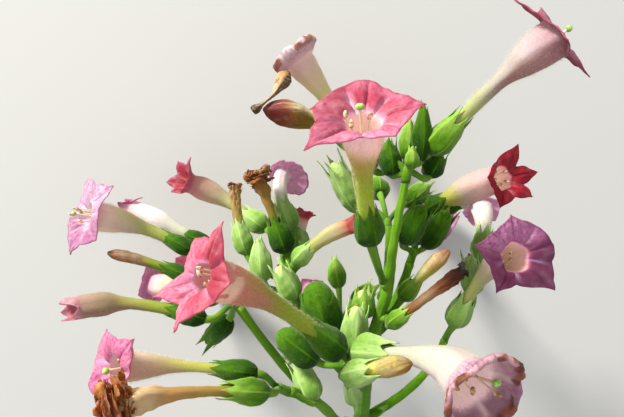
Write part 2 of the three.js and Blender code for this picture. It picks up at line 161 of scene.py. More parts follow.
# The smooth line through a list of points that the solids' stem follows.
def onRoute(route, shares):
    route = np.asarray(route, float)
    ends = [2 * route[0] - route[1], 2 * route[-1] - route[-2]]
    padded = np.vstack([ends[0], route, ends[1]])
    places = []
    for share in np.clip(shares, 0, 1):
        spot = share * (len(route) - 1)
        index = min(int(spot), len(route) - 2)
        t = spot - index
        p0, p1, p2, p3 = padded[index:index + 4]
        d0, d1, d2 = (np.sum((b - a) ** 2) ** 0.25 for a, b in ((p0, p1), (p1, p2), (p2, p3)))
        m1 = ((p1 - p0) / d0 - (p2 - p0) / (d0 + d1) + (p2 - p1) / d1) * d1
        m2 = ((p2 - p1) / d1 - (p3 - p1) / (d1 + d2) + (p3 - p2) / d2) * d1
        climb = 3 * (p2 - p1) - 2 * m1 - m2
        settle = 2 * (p1 - p2) + m1 + m2
        places.append(p1 + m1 * t + climb * t ** 2 + settle * t ** 3)
    places = np.array(places)
    way = np.gradient(places, axis=0)
    return places, way / np.linalg.norm(way, axis=1)[:, None]


# A smooth curve through pairs of (share, value).
def smoothThrough(pairs, shares):
    xs, ys = np.array(pairs, float).T
    slopes = np.gradient(ys, xs)
    shares = np.clip(shares, xs[0], xs[-1])
    index = np.clip(np.searchsorted(xs, shares) - 1, 0, len(xs) - 2)
    width = xs[index + 1] - xs[index]
    t = (shares - xs[index]) / width
    h1, h2 = 2 * t ** 3 - 3 * t ** 2 + 1, t ** 3 - 2 * t ** 2 + t
    h3, h4 = -2 * t ** 3 + 3 * t ** 2, t ** 3 - t ** 2
    return h1 * ys[index] + h2 * width * slopes[index] + h3 * ys[index + 1] + h4 * width * slopes[index + 1]


# Soft random waves in space, about -1 to 1, with a wave length near size.
def ripple(points, size, seed):
    draw = np.random.default_rng(seed)
    total = np.zeros(points.shape[:-1])
    for _ in range(8):
        way = unit(draw.normal(size=3)) * fullTurn / size * draw.uniform(0.6, 1.6)
        total += np.sin(points @ way + draw.uniform(0, fullTurn))
    return total / 3.2


def ringsOn(places, ways, across, radii, angles):
    over = np.cross(ways, across)
    over /= np.linalg.norm(over, axis=1)[:, None]
    level = np.cross(over, ways)
    level /= np.linalg.norm(level, axis=1)[:, None]
    radii = np.broadcast_to(radii, (len(places), len(angles)))
    spread = level[:, None] * np.cos(angles)[None, :, None] + over[:, None] * np.sin(angles)[None, :, None]
    return places[:, None] + spread * radii[..., None]


def normalsOf(grid):
    around = np.roll(grid, -1, axis=1) - np.roll(grid, 1, axis=1)
    along = np.gradient(grid, axis=0)
    normals = np.cross(around, along)
    return normals / np.maximum(np.linalg.norm(normals, axis=2), 1e-9)[..., None]


# Points and faces gathered for one piece.
class Body:
    def __init__(self):
        self.points, self.quads, self.triangles = [], [], []
        self.quadFinish, self.triangleFinish = [], []
        self.place, self.streak = [], []
        self.count = 0

    def addPoints(self, points, place=None, streak=None):
        points = np.asarray(points, float).reshape(-1, 3)
        first = self.count
        self.points.append(points)
        self.place.append(np.zeros_like(points) if place is None else place.reshape(-1, 3))
        self.streak.append(points * 0.1 if streak is None else streak.reshape(-1, 3))
        self.count += len(points)
        return first

    def addQuads(self, quads, finish):
        self.quads.append(quads)
        self.quadFinish.append(np.full(len(quads), finish))

    def addTriangles(self, triangles, finish):
        self.triangles.append(triangles)
        self.triangleFinish.append(np.full(len(triangles), finish))

    # A grid of rings; the rows may close on themselves, or each end gets a fan.
    def addGrid(self, grid, finish=0, place=None, streak=None, ringShut=False, caps=(True, True)):
        rows, sides = grid.shape[:2]
        first = self.addPoints(grid, place, streak)
        low = np.arange(rows if ringShut else rows - 1)
        low = low[:, None] * sides + np.arange(sides)[None]
        high = (low + sides) % (rows * sides)
        turn = np.roll(np.arange(sides), -1)[None] - np.arange(sides)[None]
        quads = np.stack([low, low + turn, high + turn, high], axis=2).reshape(-1, 4) + first
        self.addQuads(quads, finish)
        if not ringShut:
            for end, row in enumerate((0, rows - 1)):
                if caps[end]:
                    mean = None if place is None else place[row].mean(axis=0)
                    way = None if streak is None else streak[row].mean(axis=0)
                    middle = self.addPoints(grid[row].mean(axis=0), mean, way)
                    here = first + row * sides + np.arange(sides)
                    after = np.roll(here, -1)
                    fan = (after, here) if end == 0 else (here, after)
                    self.addTriangles(np.stack([*fan, np.full(sides, middle)], axis=1), finish)


# What reaches below this height, in mm, lies down on the floor and keeps a little of its depth.
floorRest = {"height": 0.25, "keep": 0.05}


def makePiece(name, body, materials, nodes=()):
    mesh = bpy.data.meshes.new(name)
    points = np.concatenate(body.points) + headShift
    low = points[:, 2] < floorRest["height"]
    points[low, 2] = floorRest["height"] + (points[low, 2] - floorRest["height"]) * floorRest["keep"]
    points = points * mm
    quads = np.concatenate(body.quads) if body.quads else np.zeros((0, 4), int)
    triangles = np.concatenate(body.triangles) if body.triangles else np.zeros((0, 3), int)
    mesh.vertices.add(len(points))
    mesh.vertices.foreach_set("co", points.ravel())
    corners = np.concatenate([quads.ravel(), triangles.ravel()])
    mesh.loops.add(len(corners))
    mesh.loops.foreach_set("vertex_index", corners.astype(np.int32))
    starts = np.concatenate([np.arange(len(quads)) * 4, len(quads) * 4 + np.arange(len(triangles)) * 3])
    mesh.polygons.add(len(starts))
    mesh.polygons.foreach_set("loop_start", starts.astype(np.int32))
    finish = np.concatenate([np.zeros(0, int), *body.quadFinish, *body.triangleFinish])
    mesh.polygons.foreach_set("material_index", finish.astype(np.int32))
    mesh.update(calc_edges=True)
    mesh.polygons.foreach_set("use_smooth", np.ones(len(starts), bool))
    for label, rows in (("place", body.place), ("streak", body.streak)):
        layer = mesh.attributes.new(label, "FLOAT_VECTOR", "POINT")
        layer.data.foreach_set("vector", np.concatenate(rows).ravel())
    for material in materials:
        mesh.materials.append(material)
    piece = bpy.data.objects.new(name, mesh)
    bpy.context.scene.collection.objects.link(piece)
    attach(piece, "root")
    if nodes:
        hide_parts(*nodes)
    return piece


sunward = unit([-0.3, 0.9, 0.3])  # where the main light stands
white = paint(250, 248, 238)


def ramp(*stops):
    return [(place, paint(*colour)) for place, *colour in stops]


# Petal tones. Each stop of a ramp is its place, red, green and blue. The ramps run from the foot of the
# tube (0) over the throat (0.5) to the rim (1), outer on the outside and inner on the inside; on the closed
# buds the inner ramp is painted light, for the side that faces the main light. lit gives the side of the
# limb, in degrees, that is painted lighter as if in the light, and its colour, and dim the side painted
# darker as painted shade. fold is a painted highlight along the creases at the notches. The colour for the
# side of a tube away from the light is painted shade, and the pale spots on the coral bell are painted
# sunlight. cloud, bell and pale say how strong the pale clouds on the limb, the painted light that glows in
# the bell and the pale blotches are.
petalTones = {
    "rose": {
        "outer": ramp(
            (0, 162, 210, 0), (0.2, 182, 218, 0), (0.3, 176, 196, 30), (0.38, 190, 168, 80),
            (0.45, 246, 206, 206), (0.52, 255, 220, 240), (0.6, 214, 124, 152), (0.97, 216, 128, 158),
        ),
        "inner": ramp(
            (0, 190, 200, 90), (0.3, 240, 214, 176), (0.45, 250, 220, 214), (0.53, 236, 196, 206),
            (0.58, 220, 150, 184), (0.67, 186, 68, 96), (0.84, 190, 72, 100), (0.97, 218, 112, 146),
        ),
        "fold": paint(236, 206, 230), "vein": paint(156, 30, 60), "lit": (150, paint(250, 166, 206)),
        "dim": (70, paint(144, 36, 64)), "cloud": 0.25, "bell": 0.8,
    },
    "coral": {
        "outer": ramp(
            (0, 130, 172, 0), (0.2, 146, 188, 0), (0.3, 168, 180, 30), (0.40, 216, 162, 120),
            (0.48, 232, 158, 156), (0.60, 214, 106, 130), (0.97, 222, 108, 140),
        ),
        "inner": ramp(
            (0, 180, 180, 80), (0.38, 200, 160, 120), (0.5, 196, 140, 160), (0.57, 206, 150, 190),
            (0.66, 206, 88, 120), (0.84, 212, 88, 112), (0.97, 226, 120, 152),
        ),
        "fold": paint(228, 180, 216), "under": paint(200, 124, 118), "vein": paint(168, 34, 62),
        "lit": (112, paint(244, 150, 184)), "dim": (-75, paint(132, 38, 46)), "cloud": 0.3, "bell": 0.15,
        "sunPatch": paint(255, 232, 204),
    },
    "blush": {
        "outer": ramp(
            (0, 170, 204, 50), (0.14, 186, 206, 96), (0.26, 190, 190, 170), (0.42, 198, 182, 186),
            (0.49, 200, 158, 170), (0.57, 180, 94, 120), (0.97, 164, 62, 92),
        ),
        "inner": ramp(
            (0, 190, 200, 120), (0.4, 236, 220, 200), (0.5, 236, 206, 210), (0.6, 212, 150, 176),
            (0.75, 196, 106, 134), (0.97, 190, 90, 120),
        ),
        "under": paint(150, 68, 84), "vein": paint(140, 60, 88),
    },
    "lilac": {
        "outer": ramp(
            (0, 134, 176, 30), (0.2, 186, 196, 90), (0.32, 216, 208, 160), (0.42, 238, 206, 208),
            (0.52, 222, 160, 190), (0.7, 184, 96, 146), (0.97, 206, 146, 186),
        ),
        "inner": ramp(
            (0, 190, 200, 120), (0.4, 230, 214, 200), (0.5, 222, 196, 210), (0.6, 226, 200, 220),
            (0.78, 210, 150, 190), (0.97, 218, 166, 202),
        ),
        "lit": (0, paint(240, 206, 230)), "dim": (170, paint(186, 110, 160)),
        "under": paint(208, 182, 188), "vein": paint(150, 72, 124), "bell": 0.3,
    },
    "hotPink": {
        "outer": ramp(
            (0, 156, 192, 40), (0.22, 202, 206, 96), (0.34, 222, 206, 160), (0.44, 232, 208, 200),
            (0.55, 222, 156, 180), (0.97, 220, 130, 166),
        ),
        "inner": ramp(
            (0, 190, 200, 120), (0.4, 230, 206, 190), (0.5, 214, 172, 190), (0.6, 214, 150, 190),
            (0.76, 222, 120, 166), (0.97, 234, 154, 194),
        ),
        "lit": (0, paint(222, 134, 176)), "dim": (150, paint(224, 132, 180)), "cloud": 0.3,
        "under": paint(196, 150, 146), "vein": paint(160, 40, 92),
    },
    "scarlet": {
        "outer": ramp(
            (0, 170, 190, 30), (0.16, 180, 190, 60), (0.25, 200, 182, 172), (0.44, 208, 174, 178),
            (0.52, 214, 164, 172), (0.6, 206, 84, 106), (0.97, 176, 34, 56),
        ),
        # the throat's pale cream is its own colour, painted brighter as painted light in the shaded throat
        "inner": ramp(
            (0, 200, 190, 110), (0.3, 255, 236, 166), (0.42, 255, 236, 206), (0.5, 240, 176, 176),
            (0.55, 156, 14, 40), (0.97, 160, 14, 44),
        ),
        "cloud": 0.05, "pale": 0.25, "vein": paint(112, 6, 26),
    },
    "plum": {
        "outer": ramp(
            (0, 176, 198, 60), (0.24, 206, 208, 130), (0.4, 228, 202, 204), (0.54, 214, 140, 184),
            (0.97, 204, 120, 176),
        ),
        # the dark foot of the inner ramp is painted shade deep in the throat
        "inner": ramp(
            (0, 40, 34, 12), (0.3, 130, 98, 66), (0.38, 170, 138, 104), (0.46, 212, 178, 152),
            (0.53, 226, 184, 186), (0.58, 176, 84, 130), (0.64, 106, 24, 54), (0.9, 104, 28, 62),
            (0.97, 128, 48, 88),
        ),
        "fold": paint(214, 170, 214), "lit": (10, paint(250, 172, 224)), "dim": (-110, paint(64, 40, 62)),
        "cloud": 0.12, "pale": 0.4, "vein": paint(104, 34, 72),
    },
    "redPink": {
        "outer": ramp(
            (0, 140, 184, 50), (0.24, 200, 212, 140), (0.36, 202, 190, 164), (0.45, 200, 168, 156),
            (0.53, 196, 122, 136), (0.97, 176, 74, 104),
        ),
        "inner": ramp(
            (0, 200, 200, 120), (0.42, 236, 140, 110), (0.5, 220, 90, 80), (0.66, 206, 60, 70),
            (0.84, 166, 44, 66), (0.97, 190, 82, 112),
        ),
        "vein": paint(130, 32, 56),
    },
    "mauve": {
        "outer": ramp(
            (0, 214, 224, 80), (0.26, 240, 242, 150), (0.37, 232, 226, 176), (0.45, 222, 200, 184),
            (0.53, 232, 184, 200), (0.66, 218, 174, 190), (0.82, 236, 216, 222), (1, 206, 160, 176),
        ),
        "inner": ramp(
            (0, 190, 196, 110), (0.5, 170, 120, 130), (0.76, 190, 140, 160), (0.97, 224, 190, 204),
        ),
        "vein": paint(150, 116, 96), "bell": 0.1,
    },
    "paleMauve": {
        "outer": ramp(
            (0, 198, 214, 142), (0.13, 202, 210, 178), (0.34, 206, 210, 196), (0.5, 210, 200, 198),
            (0.66, 204, 178, 194), (0.8, 204, 172, 192), (0.97, 190, 148, 170),
        ),
        "inner": ramp(
            (0, 220, 220, 170), (0.3, 230, 208, 196), (0.5, 240, 206, 204), (0.66, 222, 182, 192),
            (0.8, 190, 136, 158), (0.97, 196, 142, 166),
        ),
        "lit": (20, paint(234, 196, 196)), "dim": (-160, paint(104, 62, 78)), "cloud": 0.2, "pale": 0.5,
        "under": paint(208, 184, 192), "vein": paint(140, 84, 108),
    },
    "violet": {
        "outer": ramp(
            (0, 190, 214, 120), (0.18, 226, 232, 206), (0.4, 232, 230, 224), (0.51, 218, 194, 208),
            (0.6, 226, 172, 208), (0.97, 224, 164, 200),
        ),
        "inner": ramp(
            (0, 220, 220, 170), (0.5, 206, 170, 190), (0.7, 176, 112, 156), (0.97, 170, 106, 152),
        ),
        "vein": paint(176, 116, 160),
    },
    "pinkWhite": {
        "outer": ramp(
            (0, 176, 200, 96), (0.2, 238, 242, 226), (0.36, 250, 250, 250), (0.5, 244, 232, 238),
            (0.58, 210, 150, 180), (0.97, 196, 106, 150),
        ),
        "inner": ramp(
            (0, 220, 220, 170), (0.5, 196, 124, 146), (0.7, 184, 80, 124), (0.97, 200, 110, 152),
        ),
        "vein": paint(166, 80, 120),
    },
    "closing": {
        "outer": ramp(
            (0, 140, 170, 30), (0.2, 162, 186, 52), (0.32, 178, 176, 92), (0.39, 178, 162, 122),
            (0.5, 190, 158, 140), (0.6, 200, 144, 150), (0.97, 216, 166, 178),
        ),
        "inner": ramp(
            (0, 120, 30, 50), (0.42, 140, 16, 50), (0.5, 150, 16, 54), (0.84, 156, 26, 66),
            (0.97, 220, 140, 166),
        ),
        "under": paint(172, 138, 120), "vein": paint(140, 66, 76),
    },
    "redSmall": {
        "outer": ramp(
            (0, 180, 204, 110), (0.2, 228, 228, 206), (0.42, 230, 216, 204), (0.52, 206, 100, 116),
            (0.62, 186, 40, 66), (0.97, 190, 50, 78),
        ),
        "inner": ramp((0, 200, 200, 130), (0.5, 200, 80, 96), (0.7, 186, 34, 62), (0.97, 190, 46, 74)),
        "vein": paint(140, 22, 46),
    },
    "redBud": {
        "outer": ramp(
            (0, 110, 124, 2), (0.45, 130, 124, 8), (0.66, 144, 112, 16), (0.76, 144, 70, 24),
            (0.86, 106, 20, 16), (0.95, 100, 10, 16), (1, 60, 8, 8),
        ),
        "inner": ramp(
            (0, 190, 200, 80), (0.4, 232, 226, 150), (0.7, 244, 226, 170), (0.8, 200, 130, 94),
            (0.88, 126, 28, 28), (1, 90, 8, 12),
        ),
        "vein": paint(90, 18, 12),
    },
    "creamBud": {
        "outer": ramp(
            (0, 156, 178, 36), (0.3, 178, 186, 66), (0.6, 190, 184, 86), (0.84, 196, 166, 100),
            (0.94, 180, 120, 80), (1, 140, 72, 46),
        ),
        "inner": ramp((0, 176, 196, 80), (0.4, 210, 208, 136), (0.78, 214, 186, 136), (1, 180, 110, 80)),
        "vein": paint(150, 84, 50),
    },
    "curvedBud": {
        "outer": ramp(
            (0, 164, 190, 56), (0.2, 184, 192, 112), (0.36, 202, 200, 150), (0.46, 210, 174, 134),
            (0.53, 206, 90, 90), (0.64, 190, 36, 60), (0.97, 200, 56, 80),
        ),
        "inner": ramp((0, 200, 200, 130), (0.5, 200, 80, 84), (0.7, 186, 34, 56), (0.97, 196, 46, 70)),
        "vein": paint(190, 150, 80),
    },
    "whiteBud": {
        "outer": ramp(
            (0, 190, 205, 110), (0.4, 226, 220, 186), (0.75, 230, 222, 200), (1, 216, 186, 160),
        ),
        "vein": paint(196, 176, 120),
    },
    "tanBud": {
        "outer": ramp(
            (0, 92, 134, 2), (0.3, 106, 142, 6), (0.5, 124, 134, 22), (0.62, 150, 120, 44),
            (0.8, 162, 106, 50), (0.93, 162, 100, 56), (1, 110, 60, 32),
        ),
        "inner": ramp(
            (0, 108, 150, 12), (0.5, 140, 152, 52), (0.66, 156, 126, 62), (0.9, 162, 118, 68),
            (1, 150, 100, 76),
        ),
        "vein": paint(104, 60, 26),
    },
    "yellowBud": {
        "outer": ramp(
            (0, 176, 200, 70), (0.35, 170, 180, 60), (0.62, 172, 170, 50), (0.8, 182, 156, 46),
            (0.92, 144, 98, 26), (1, 84, 48, 12),
        ),
        "inner": ramp(
            (0, 180, 204, 90), (0.35, 196, 202, 98), (0.7, 214, 208, 104), (0.88, 212, 194, 96),
            (1, 120, 80, 30),
        ),
        "vein": paint(140, 90, 26),
    },
    "dried": {
        "outer": ramp(
            (0, 128, 134, 20), (0.2, 150, 140, 44), (0.36, 176, 140, 66), (0.5, 170, 104, 40),
            (0.7, 150, 74, 20), (0.85, 206, 156, 100), (0.97, 110, 50, 14),
        ),
        "inner": ramp((0, 150, 120, 50), (0.5, 110, 50, 14), (0.7, 96, 40, 10), (0.97, 150, 76, 26)),
        "vein": paint(66, 30, 8),
    },
    "driedPale": {
        "outer": ramp(
            (0, 146, 150, 30), (0.16, 176, 150, 66), (0.3, 196, 154, 90), (0.4, 228, 204, 156),
            (0.5, 232, 204, 150), (0.58, 196, 116, 40), (0.72, 176, 86, 20), (0.85, 222, 150, 70),
            (0.97, 130, 56, 10),
        ),
        "inner": ramp((0, 150, 120, 50), (0.5, 150, 70, 16), (0.7, 128, 52, 8), (0.97, 186, 96, 30)),
        "vein": paint(110, 50, 12), "cloud": 0.2,
    },
    "driedTan": {
        "outer": ramp(
            (0, 140, 160, 40), (0.2, 176, 170, 80), (0.4, 196, 160, 100), (0.6, 180, 130, 80),
            (0.97, 150, 96, 50),
        ),
        "inner": ramp((0, 150, 120, 50), (0.5, 130, 80, 40), (0.97, 150, 96, 50)),
        "vein": paint(110, 66, 30),
    },
    "driedDark": {
        "outer": ramp(
            (0, 150, 140, 50), (0.14, 156, 104, 54), (0.26, 206, 170, 126), (0.36, 160, 92, 50),
            (0.44, 100, 46, 18), (0.52, 46, 22, 8), (0.97, 30, 16, 6),
        ),
        "inner": ramp((0, 100, 60, 30), (0.97, 40, 20, 10)), "vein": paint(84, 36, 14),
    },
}


def nearest(stops, share):
    return min(stops, key=lambda stop: abs(stop[0] - share))[1]


petalLook = {
    # noise scales
    "streak": 15.0, "blotch": 300.0, "fine": 900.0, "broad": 90.0, "cloud": 75.0, "sunPatch": 150.0,
    # where each begins and is full
    "inside": (0.4, 0.65), "limb": (0.5, 0.66), "mouth": (0.54, 0.6),
    # how strong each colour is, and the skin
    "lit": 0.62, "dim": 0.7, "under": 0.85, "sunPatchShare": 0.85, "fold": 0.85, "rib": 0.4, "edge": 0.4,
    "bump": 0.6, "bumpHeight": 0.0004, "roughness": 0.5, "specular": 0.3, "scatter": 0.2, "sheen": 0.12,
    "glow": 0.42, "through": 0.4, "scorched": paint(158, 88, 38), "charred": paint(84, 40, 16),
}


def petalMaterial(name, tone, scorch=None):
    g = Graph(name)
    look = petalLook
    along, side, fromRib = g.split(g.rows("place"), (0, 1, 2))
    streakWay = g.rows("streak")
    solid = g.node("ShaderNodeTexCoord", {}, out=3)
    streak = g.noise(streakWay, look["streak"], 3.0)
    blotch = g.noise(solid, look["blotch"], 3.0)
    fine = g.noise(solid, look["fine"], 2.0)
    broad = g.noise(solid, look["broad"], 1.0)
    inside = side.between(*look["inside"])
    onLimb = along.between(*look["limb"])
    beforeMouth = 1 - along.between(*look["mouth"])

    shifted = along + (broad - 0.5) * 0.10
    innerStops = tone.get("inner", tone["outer"])
    colour = g.mix(inside, g.ramp(shifted, tone["outer"]), g.ramp(shifted, innerStops))
    level, over = g.split(streakWay, (0, 1))
    for key in ("lit", "dim"):  # one side of the limb in the light, the other in its own shade
        if key in tone:
            turn, sideColour = tone[key]
            toward = level * float(np.cos(np.radians(turn))) + over * float(np.sin(np.radians(turn)))
            share = toward.between(-0.1, 0.8) * along.between(0.56, 0.66) * inside * look[key]
            colour = g.mix(share, colour, sideColour)
    cloud = g.noise(solid, look["cloud"], 2.0)
    light = blendPaint(nearest(innerStops, 0.97), white, 0.34)
    colour = g.mix(cloud.between(0.42, 0.68) * onLimb * tone.get("cloud", 0.4), colour, light)
    if "under" in tone:  # painted shade on the side of the tube that looks away from the light
        shade = (1 - side.between(0.08, 0.26)) * along.between(0.18, 0.32) * (1 - onLimb) * (1 - inside)
        colour = g.mix(shade * look["under"], colour, tone["under"])
    if "sunPatch" in tone:  # painted patches of sunlight on the bell, where light passes between the lobes
        spot = g.noise(solid, look["sunPatch"], 1.0)
        onBell = along.between(0.39, 0.42) * (1 - along.between(0.5, 0.53)) * (1 - inside)
        colour = g.mix(spot.between(0.49, 0.52) * onBell * look["sunPatchShare"], colour, tone["sunPatch"])
    colour = g.mix(streak.between(0.5, 0.62) * (onLimb * 0.46 + 0.14), colour, tone["vein"])
    colour = g.mix(fine.between(0.52, 0.66) * (onLimb * 0.26 + 0.08), colour, tone["vein"])
    rib = (1 - fromRib.between(0.0, 0.09)) * onLimb * look["rib"]
    edge = along.between(0.96, 0.99) * look["edge"]
    colour = g.mix(rib + edge, colour, tone["vein"])
    # painted highlight: pale streaks along the creases at the notches, the lit side of each crease
    fold = fromRib.between(0.72, 0.97) * inside * along.between(0.46, 0.54) * (1 - along.between(0.7, 1.0))
    foldHighlight = tone.get("fold", blendPaint(nearest(innerStops, 0.57), white, 0.2))
    colour = g.mix(fold * look["fold"], colour, foldHighlight)
    pale = blotch.between(0.5, 0.7) * (onLimb * 0.12 + 0.1) * tone.get("pale", 1.0)
    colour = g.mix(pale, colour, blendPaint(tone["outer"][-2][1], white, 0.4))
    if scorch:
        burn = g.noise(solid, scorch["size"], 2.0)
        burnt = burn.between(scorch["from"], scorch["from"] + 0.05) * along.between(*scorch["along"])
        colour = g.mix(burnt * 0.92, colour, look["scorched"])
        colour = g.mix(blotch.between(0.48, 0.6) * burnt * 0.85, colour, look["charred"])

    # Painted light: the petals glow in their own colour, a little everywhere and more in the throat and
    # round the bell, for the light that shines through them.
    throatPaintedLight = along.between(0.24, 0.36) * beforeMouth * inside
    bellPaintedLight = along.between(0.34, 0.45) * beforeMouth * (1 - inside) * tone.get("bell", 0.0)
    glow = g.mix(throatPaintedLight * 0.9 + bellPaintedLight + 0.1, paint(0, 0, 0), colour)
    height = streak * 0.6 + blotch * 0.5 + fine * 0.2
    relief = {"Strength": look["bump"], "Distance": look["bumpHeight"], "Height": height}
    skin = g.node("ShaderNodeBsdfPrincipled", {}, {
        "Base Color": colour, "Roughness": look["roughness"], "Normal": g.node("ShaderNodeBump", {}, relief),
        "Specular IOR Level": look["specular"], "Subsurface Weight": look["scatter"],
        "Subsurface Radius": (1.0, 0.5, 0.4), "Subsurface Scale": 0.0006, "Sheen Weight": look["sheen"],
        "Sheen Roughness": 0.4, "Emission Color": glow, "Emission Strength": look["glow"],
    })
    # the light that comes through the tube, and through the limb
    tubeLight, limbLight = (blendPaint(nearest(tone["outer"], at), white, 0.15) for at in (0.36, 0.8))
    tube = g.node("ShaderNodeBsdfTranslucent", {}, {"Color": tubeLight})
    limb = g.node("ShaderNodeBsdfTranslucent", {}, {"Color": limbLight})
    through = g.node("ShaderNodeMixShader", {}, {0: along.between(0.44, 0.6), 1: tube, 2: limb})
    return g.finish(g.node("ShaderNodeMixShader", {}, {0: look["through"], 1: skin, 2: through}))


# Leaf greens, from lime to deep green: the lime greens are partly painted light and painted sheen, and the
# deep greens of cups and pods partly painted shade, for those that lie in shadow.
greenTones = {
    "cupLight": {"low": paint(134, 173, 78), "high": paint(178, 207, 134), "dark": paint(80, 126, 34)},
    "cupMid": {"low": paint(88, 136, 18), "high": paint(150, 188, 78), "dark": paint(44, 90, 3)},
    "cupDeep": {"low": paint(36, 79, 0), "high": paint(78, 124, 6), "dark": paint(16, 46, 0)},
    "pod": {"low": paint(136, 178, 66), "high": paint(190, 214, 134), "dark": paint(100, 146, 40)},
    "podDeep": {"low": paint(46, 90, 1), "high": paint(76, 122, 8), "dark": paint(32, 70, 0)},
    "twig": {"low": paint(78, 128, 18), "high": paint(126, 168, 50), "dark": paint(44, 86, 6)},
    "stalk": {"low": paint(72, 127, 8), "high": paint(116, 164, 33), "dark": paint(28, 70, 1)},
}


greenLook = {
    "grain": 8.0, "speck": 700.0, "cloud": 120.0,  # noise scales
    "bump": 0.5, "bumpHeight": 0.0002, "roughness": 0.66, "specular": 0.06, "scatter": 0.2, "sheen": 0.14,
    "through": 0.16,
}


def greenMaterial(name, tone):
    g = Graph(name)
    look = greenLook
    along, fromRib = g.split(g.rows("place"), (0, 2))
    solid = g.node("ShaderNodeTexCoord", {}, out=3)
    grain = g.noise(g.rows("streak"), look["grain"], 3.0)
    speck = g.noise(solid, look["speck"], 2.0)
    cloud = g.noise(solid, look["cloud"], 2.0)
    colour = g.ramp(along * 0.55 + cloud * 0.45, [
        (0.15, tone["dark"]), (0.4, tone["low"]), (0.75, tone["high"]),
    ])
    colour = g.mix(grain.between(0.48, 0.7) * 0.5, colour, tone["dark"])
    # Darker between the ribs and lighter on them: partly the ribs' own paler green, partly painted shade and
    # painted highlight.
    colour = g.mix(fromRib.between(0.55, 1.0) * 0.28, colour, tone["dark"])
    colour = g.mix((1 - fromRib.between(0.03, 0.17)) * 0.6, colour, tone["high"])
    colour = g.mix(speck.between(0.55, 0.7) * 0.15, colour, tone["high"])
    height = grain * 0.5 + speck * 0.5
    relief = {"Strength": look["bump"], "Distance": look["bumpHeight"], "Height": height}
    skin = g.node("ShaderNodeBsdfPrincipled", {}, {
        "Base Color": colour, "Roughness": look["roughness"], "Normal": g.node("ShaderNodeBump", {}, relief),
        "Specular IOR Level": look["specular"], "Subsurface Weight": look["scatter"],
        "Subsurface Radius": (0.5, 1.0, 0.2), "Subsurface Scale": 0.001, "Sheen Weight": look["sheen"],
        "Sheen Roughness": 0.5,
    })
    through = g.node("ShaderNodeBsdfTranslucent", {}, {"Color": tone["high"]})
    return g.finish(g.node("ShaderNodeMixShader", {}, {0: look["through"], 1: skin, 2: through}))


# The small parts: threads, hairs and pod tips.
def plainMaterial(name, low, high, roughness=0.5, scale=900.0, glow=0.0):
    g = Graph(name)
    solid = g.node("ShaderNodeTexCoord", {}, out=3)
    speck = g.noise(solid, scale, 2.0)
    colour = g.mix(speck.between(0.35, 0.65), low, high)
    bump = g.node("ShaderNodeBump", {}, {"Strength": 0.3, "Distance": 0.0001, "Height": speck})
    skin = g.node("ShaderNodeBsdfPrincipled", {}, {
        "Base Color": colour, "Roughness": roughness, "Normal": bump,
    })
    if not glow:
        return g.finish(skin)
    through = g.node("ShaderNodeBsdfTranslucent", {}, {"Color": high})
    return g.finish(g.node("ShaderNodeMixShader", {}, {0: glow, 1: skin, 2: through}))


petals = {key: petalMaterial("petal_" + key, tone) for key, tone in petalTones.items()}
scorches = {  # the size of the brown marks, how much they cover, and where along the petal they begin
    "mauve": {"size": 110.0, "from": 0.45, "along": (0.66, 0.76)},
    "paleMauve": {"size": 120.0, "from": 0.48, "along": (0.76, 0.82)},
}
for key, scorch in scorches.items():
    petals[key + "Scorched"] = petalMaterial("petal_" + key + "_scorched", petalTones[key], scorch)
greens = {key: greenMaterial(key, tone) for key, tone in greenTones.items()}
filament = plainMaterial("filament", paint(226, 214, 170), paint(244, 224, 206), 0.5, glow=0.2)
anther = plainMaterial("anther", paint(150, 110, 60), paint(236, 214, 180), 0.7)
stigma = plainMaterial("stigma", paint(124, 176, 58), paint(176, 214, 112), 0.35)
downHair = {
    "nearTubes": plainMaterial("down_pale", paint(226, 224, 180), paint(250, 248, 226), 0.5, glow=0.5),
    "tubes": plainMaterial("down_cream", paint(214, 214, 150), paint(240, 238, 196), 0.5, glow=0.4),
    "cups": plainMaterial("down_cups", paint(150, 182, 66), paint(196, 216, 120), 0.5, glow=0.35),
    "stalks": plainMaterial("down_stalks", paint(130, 166, 56), paint(180, 204, 104), 0.5, glow=0.35),
}
podTip = plainMaterial("pod_tip", paint(110, 80, 30), paint(150, 120, 60), 0.7)
print("finishes made")


# Hairs are gathered from every fresh surface and made at the end.
hairs = {"cups": Body(), "tubes": Body(), "nearTubes": Body(), "stalks": Body()}
hairLook = {
    "radius": 0.022, "sink": 0.06, "lean": 0.5, "floor": 1.2,
    "near": ["bloom_center", "bloom_front", "bloom_lower_left", "bloom_upper_right", "bloom_left"],
}
hairCovers = {  # the group, the hairs on a square mm, and their length in mm
    "nearTube": ("nearTubes", 4.6, 1.2), "tube": ("tubes", 1.2, 1.0), "closedBud": ("tubes", 0.6, 0.7),
    "cup": ("cups", 0.7, 0.7), "twig": ("stalks", 0.6, 0.6), "stalk": ("stalks", 0.7, 0.7),
}


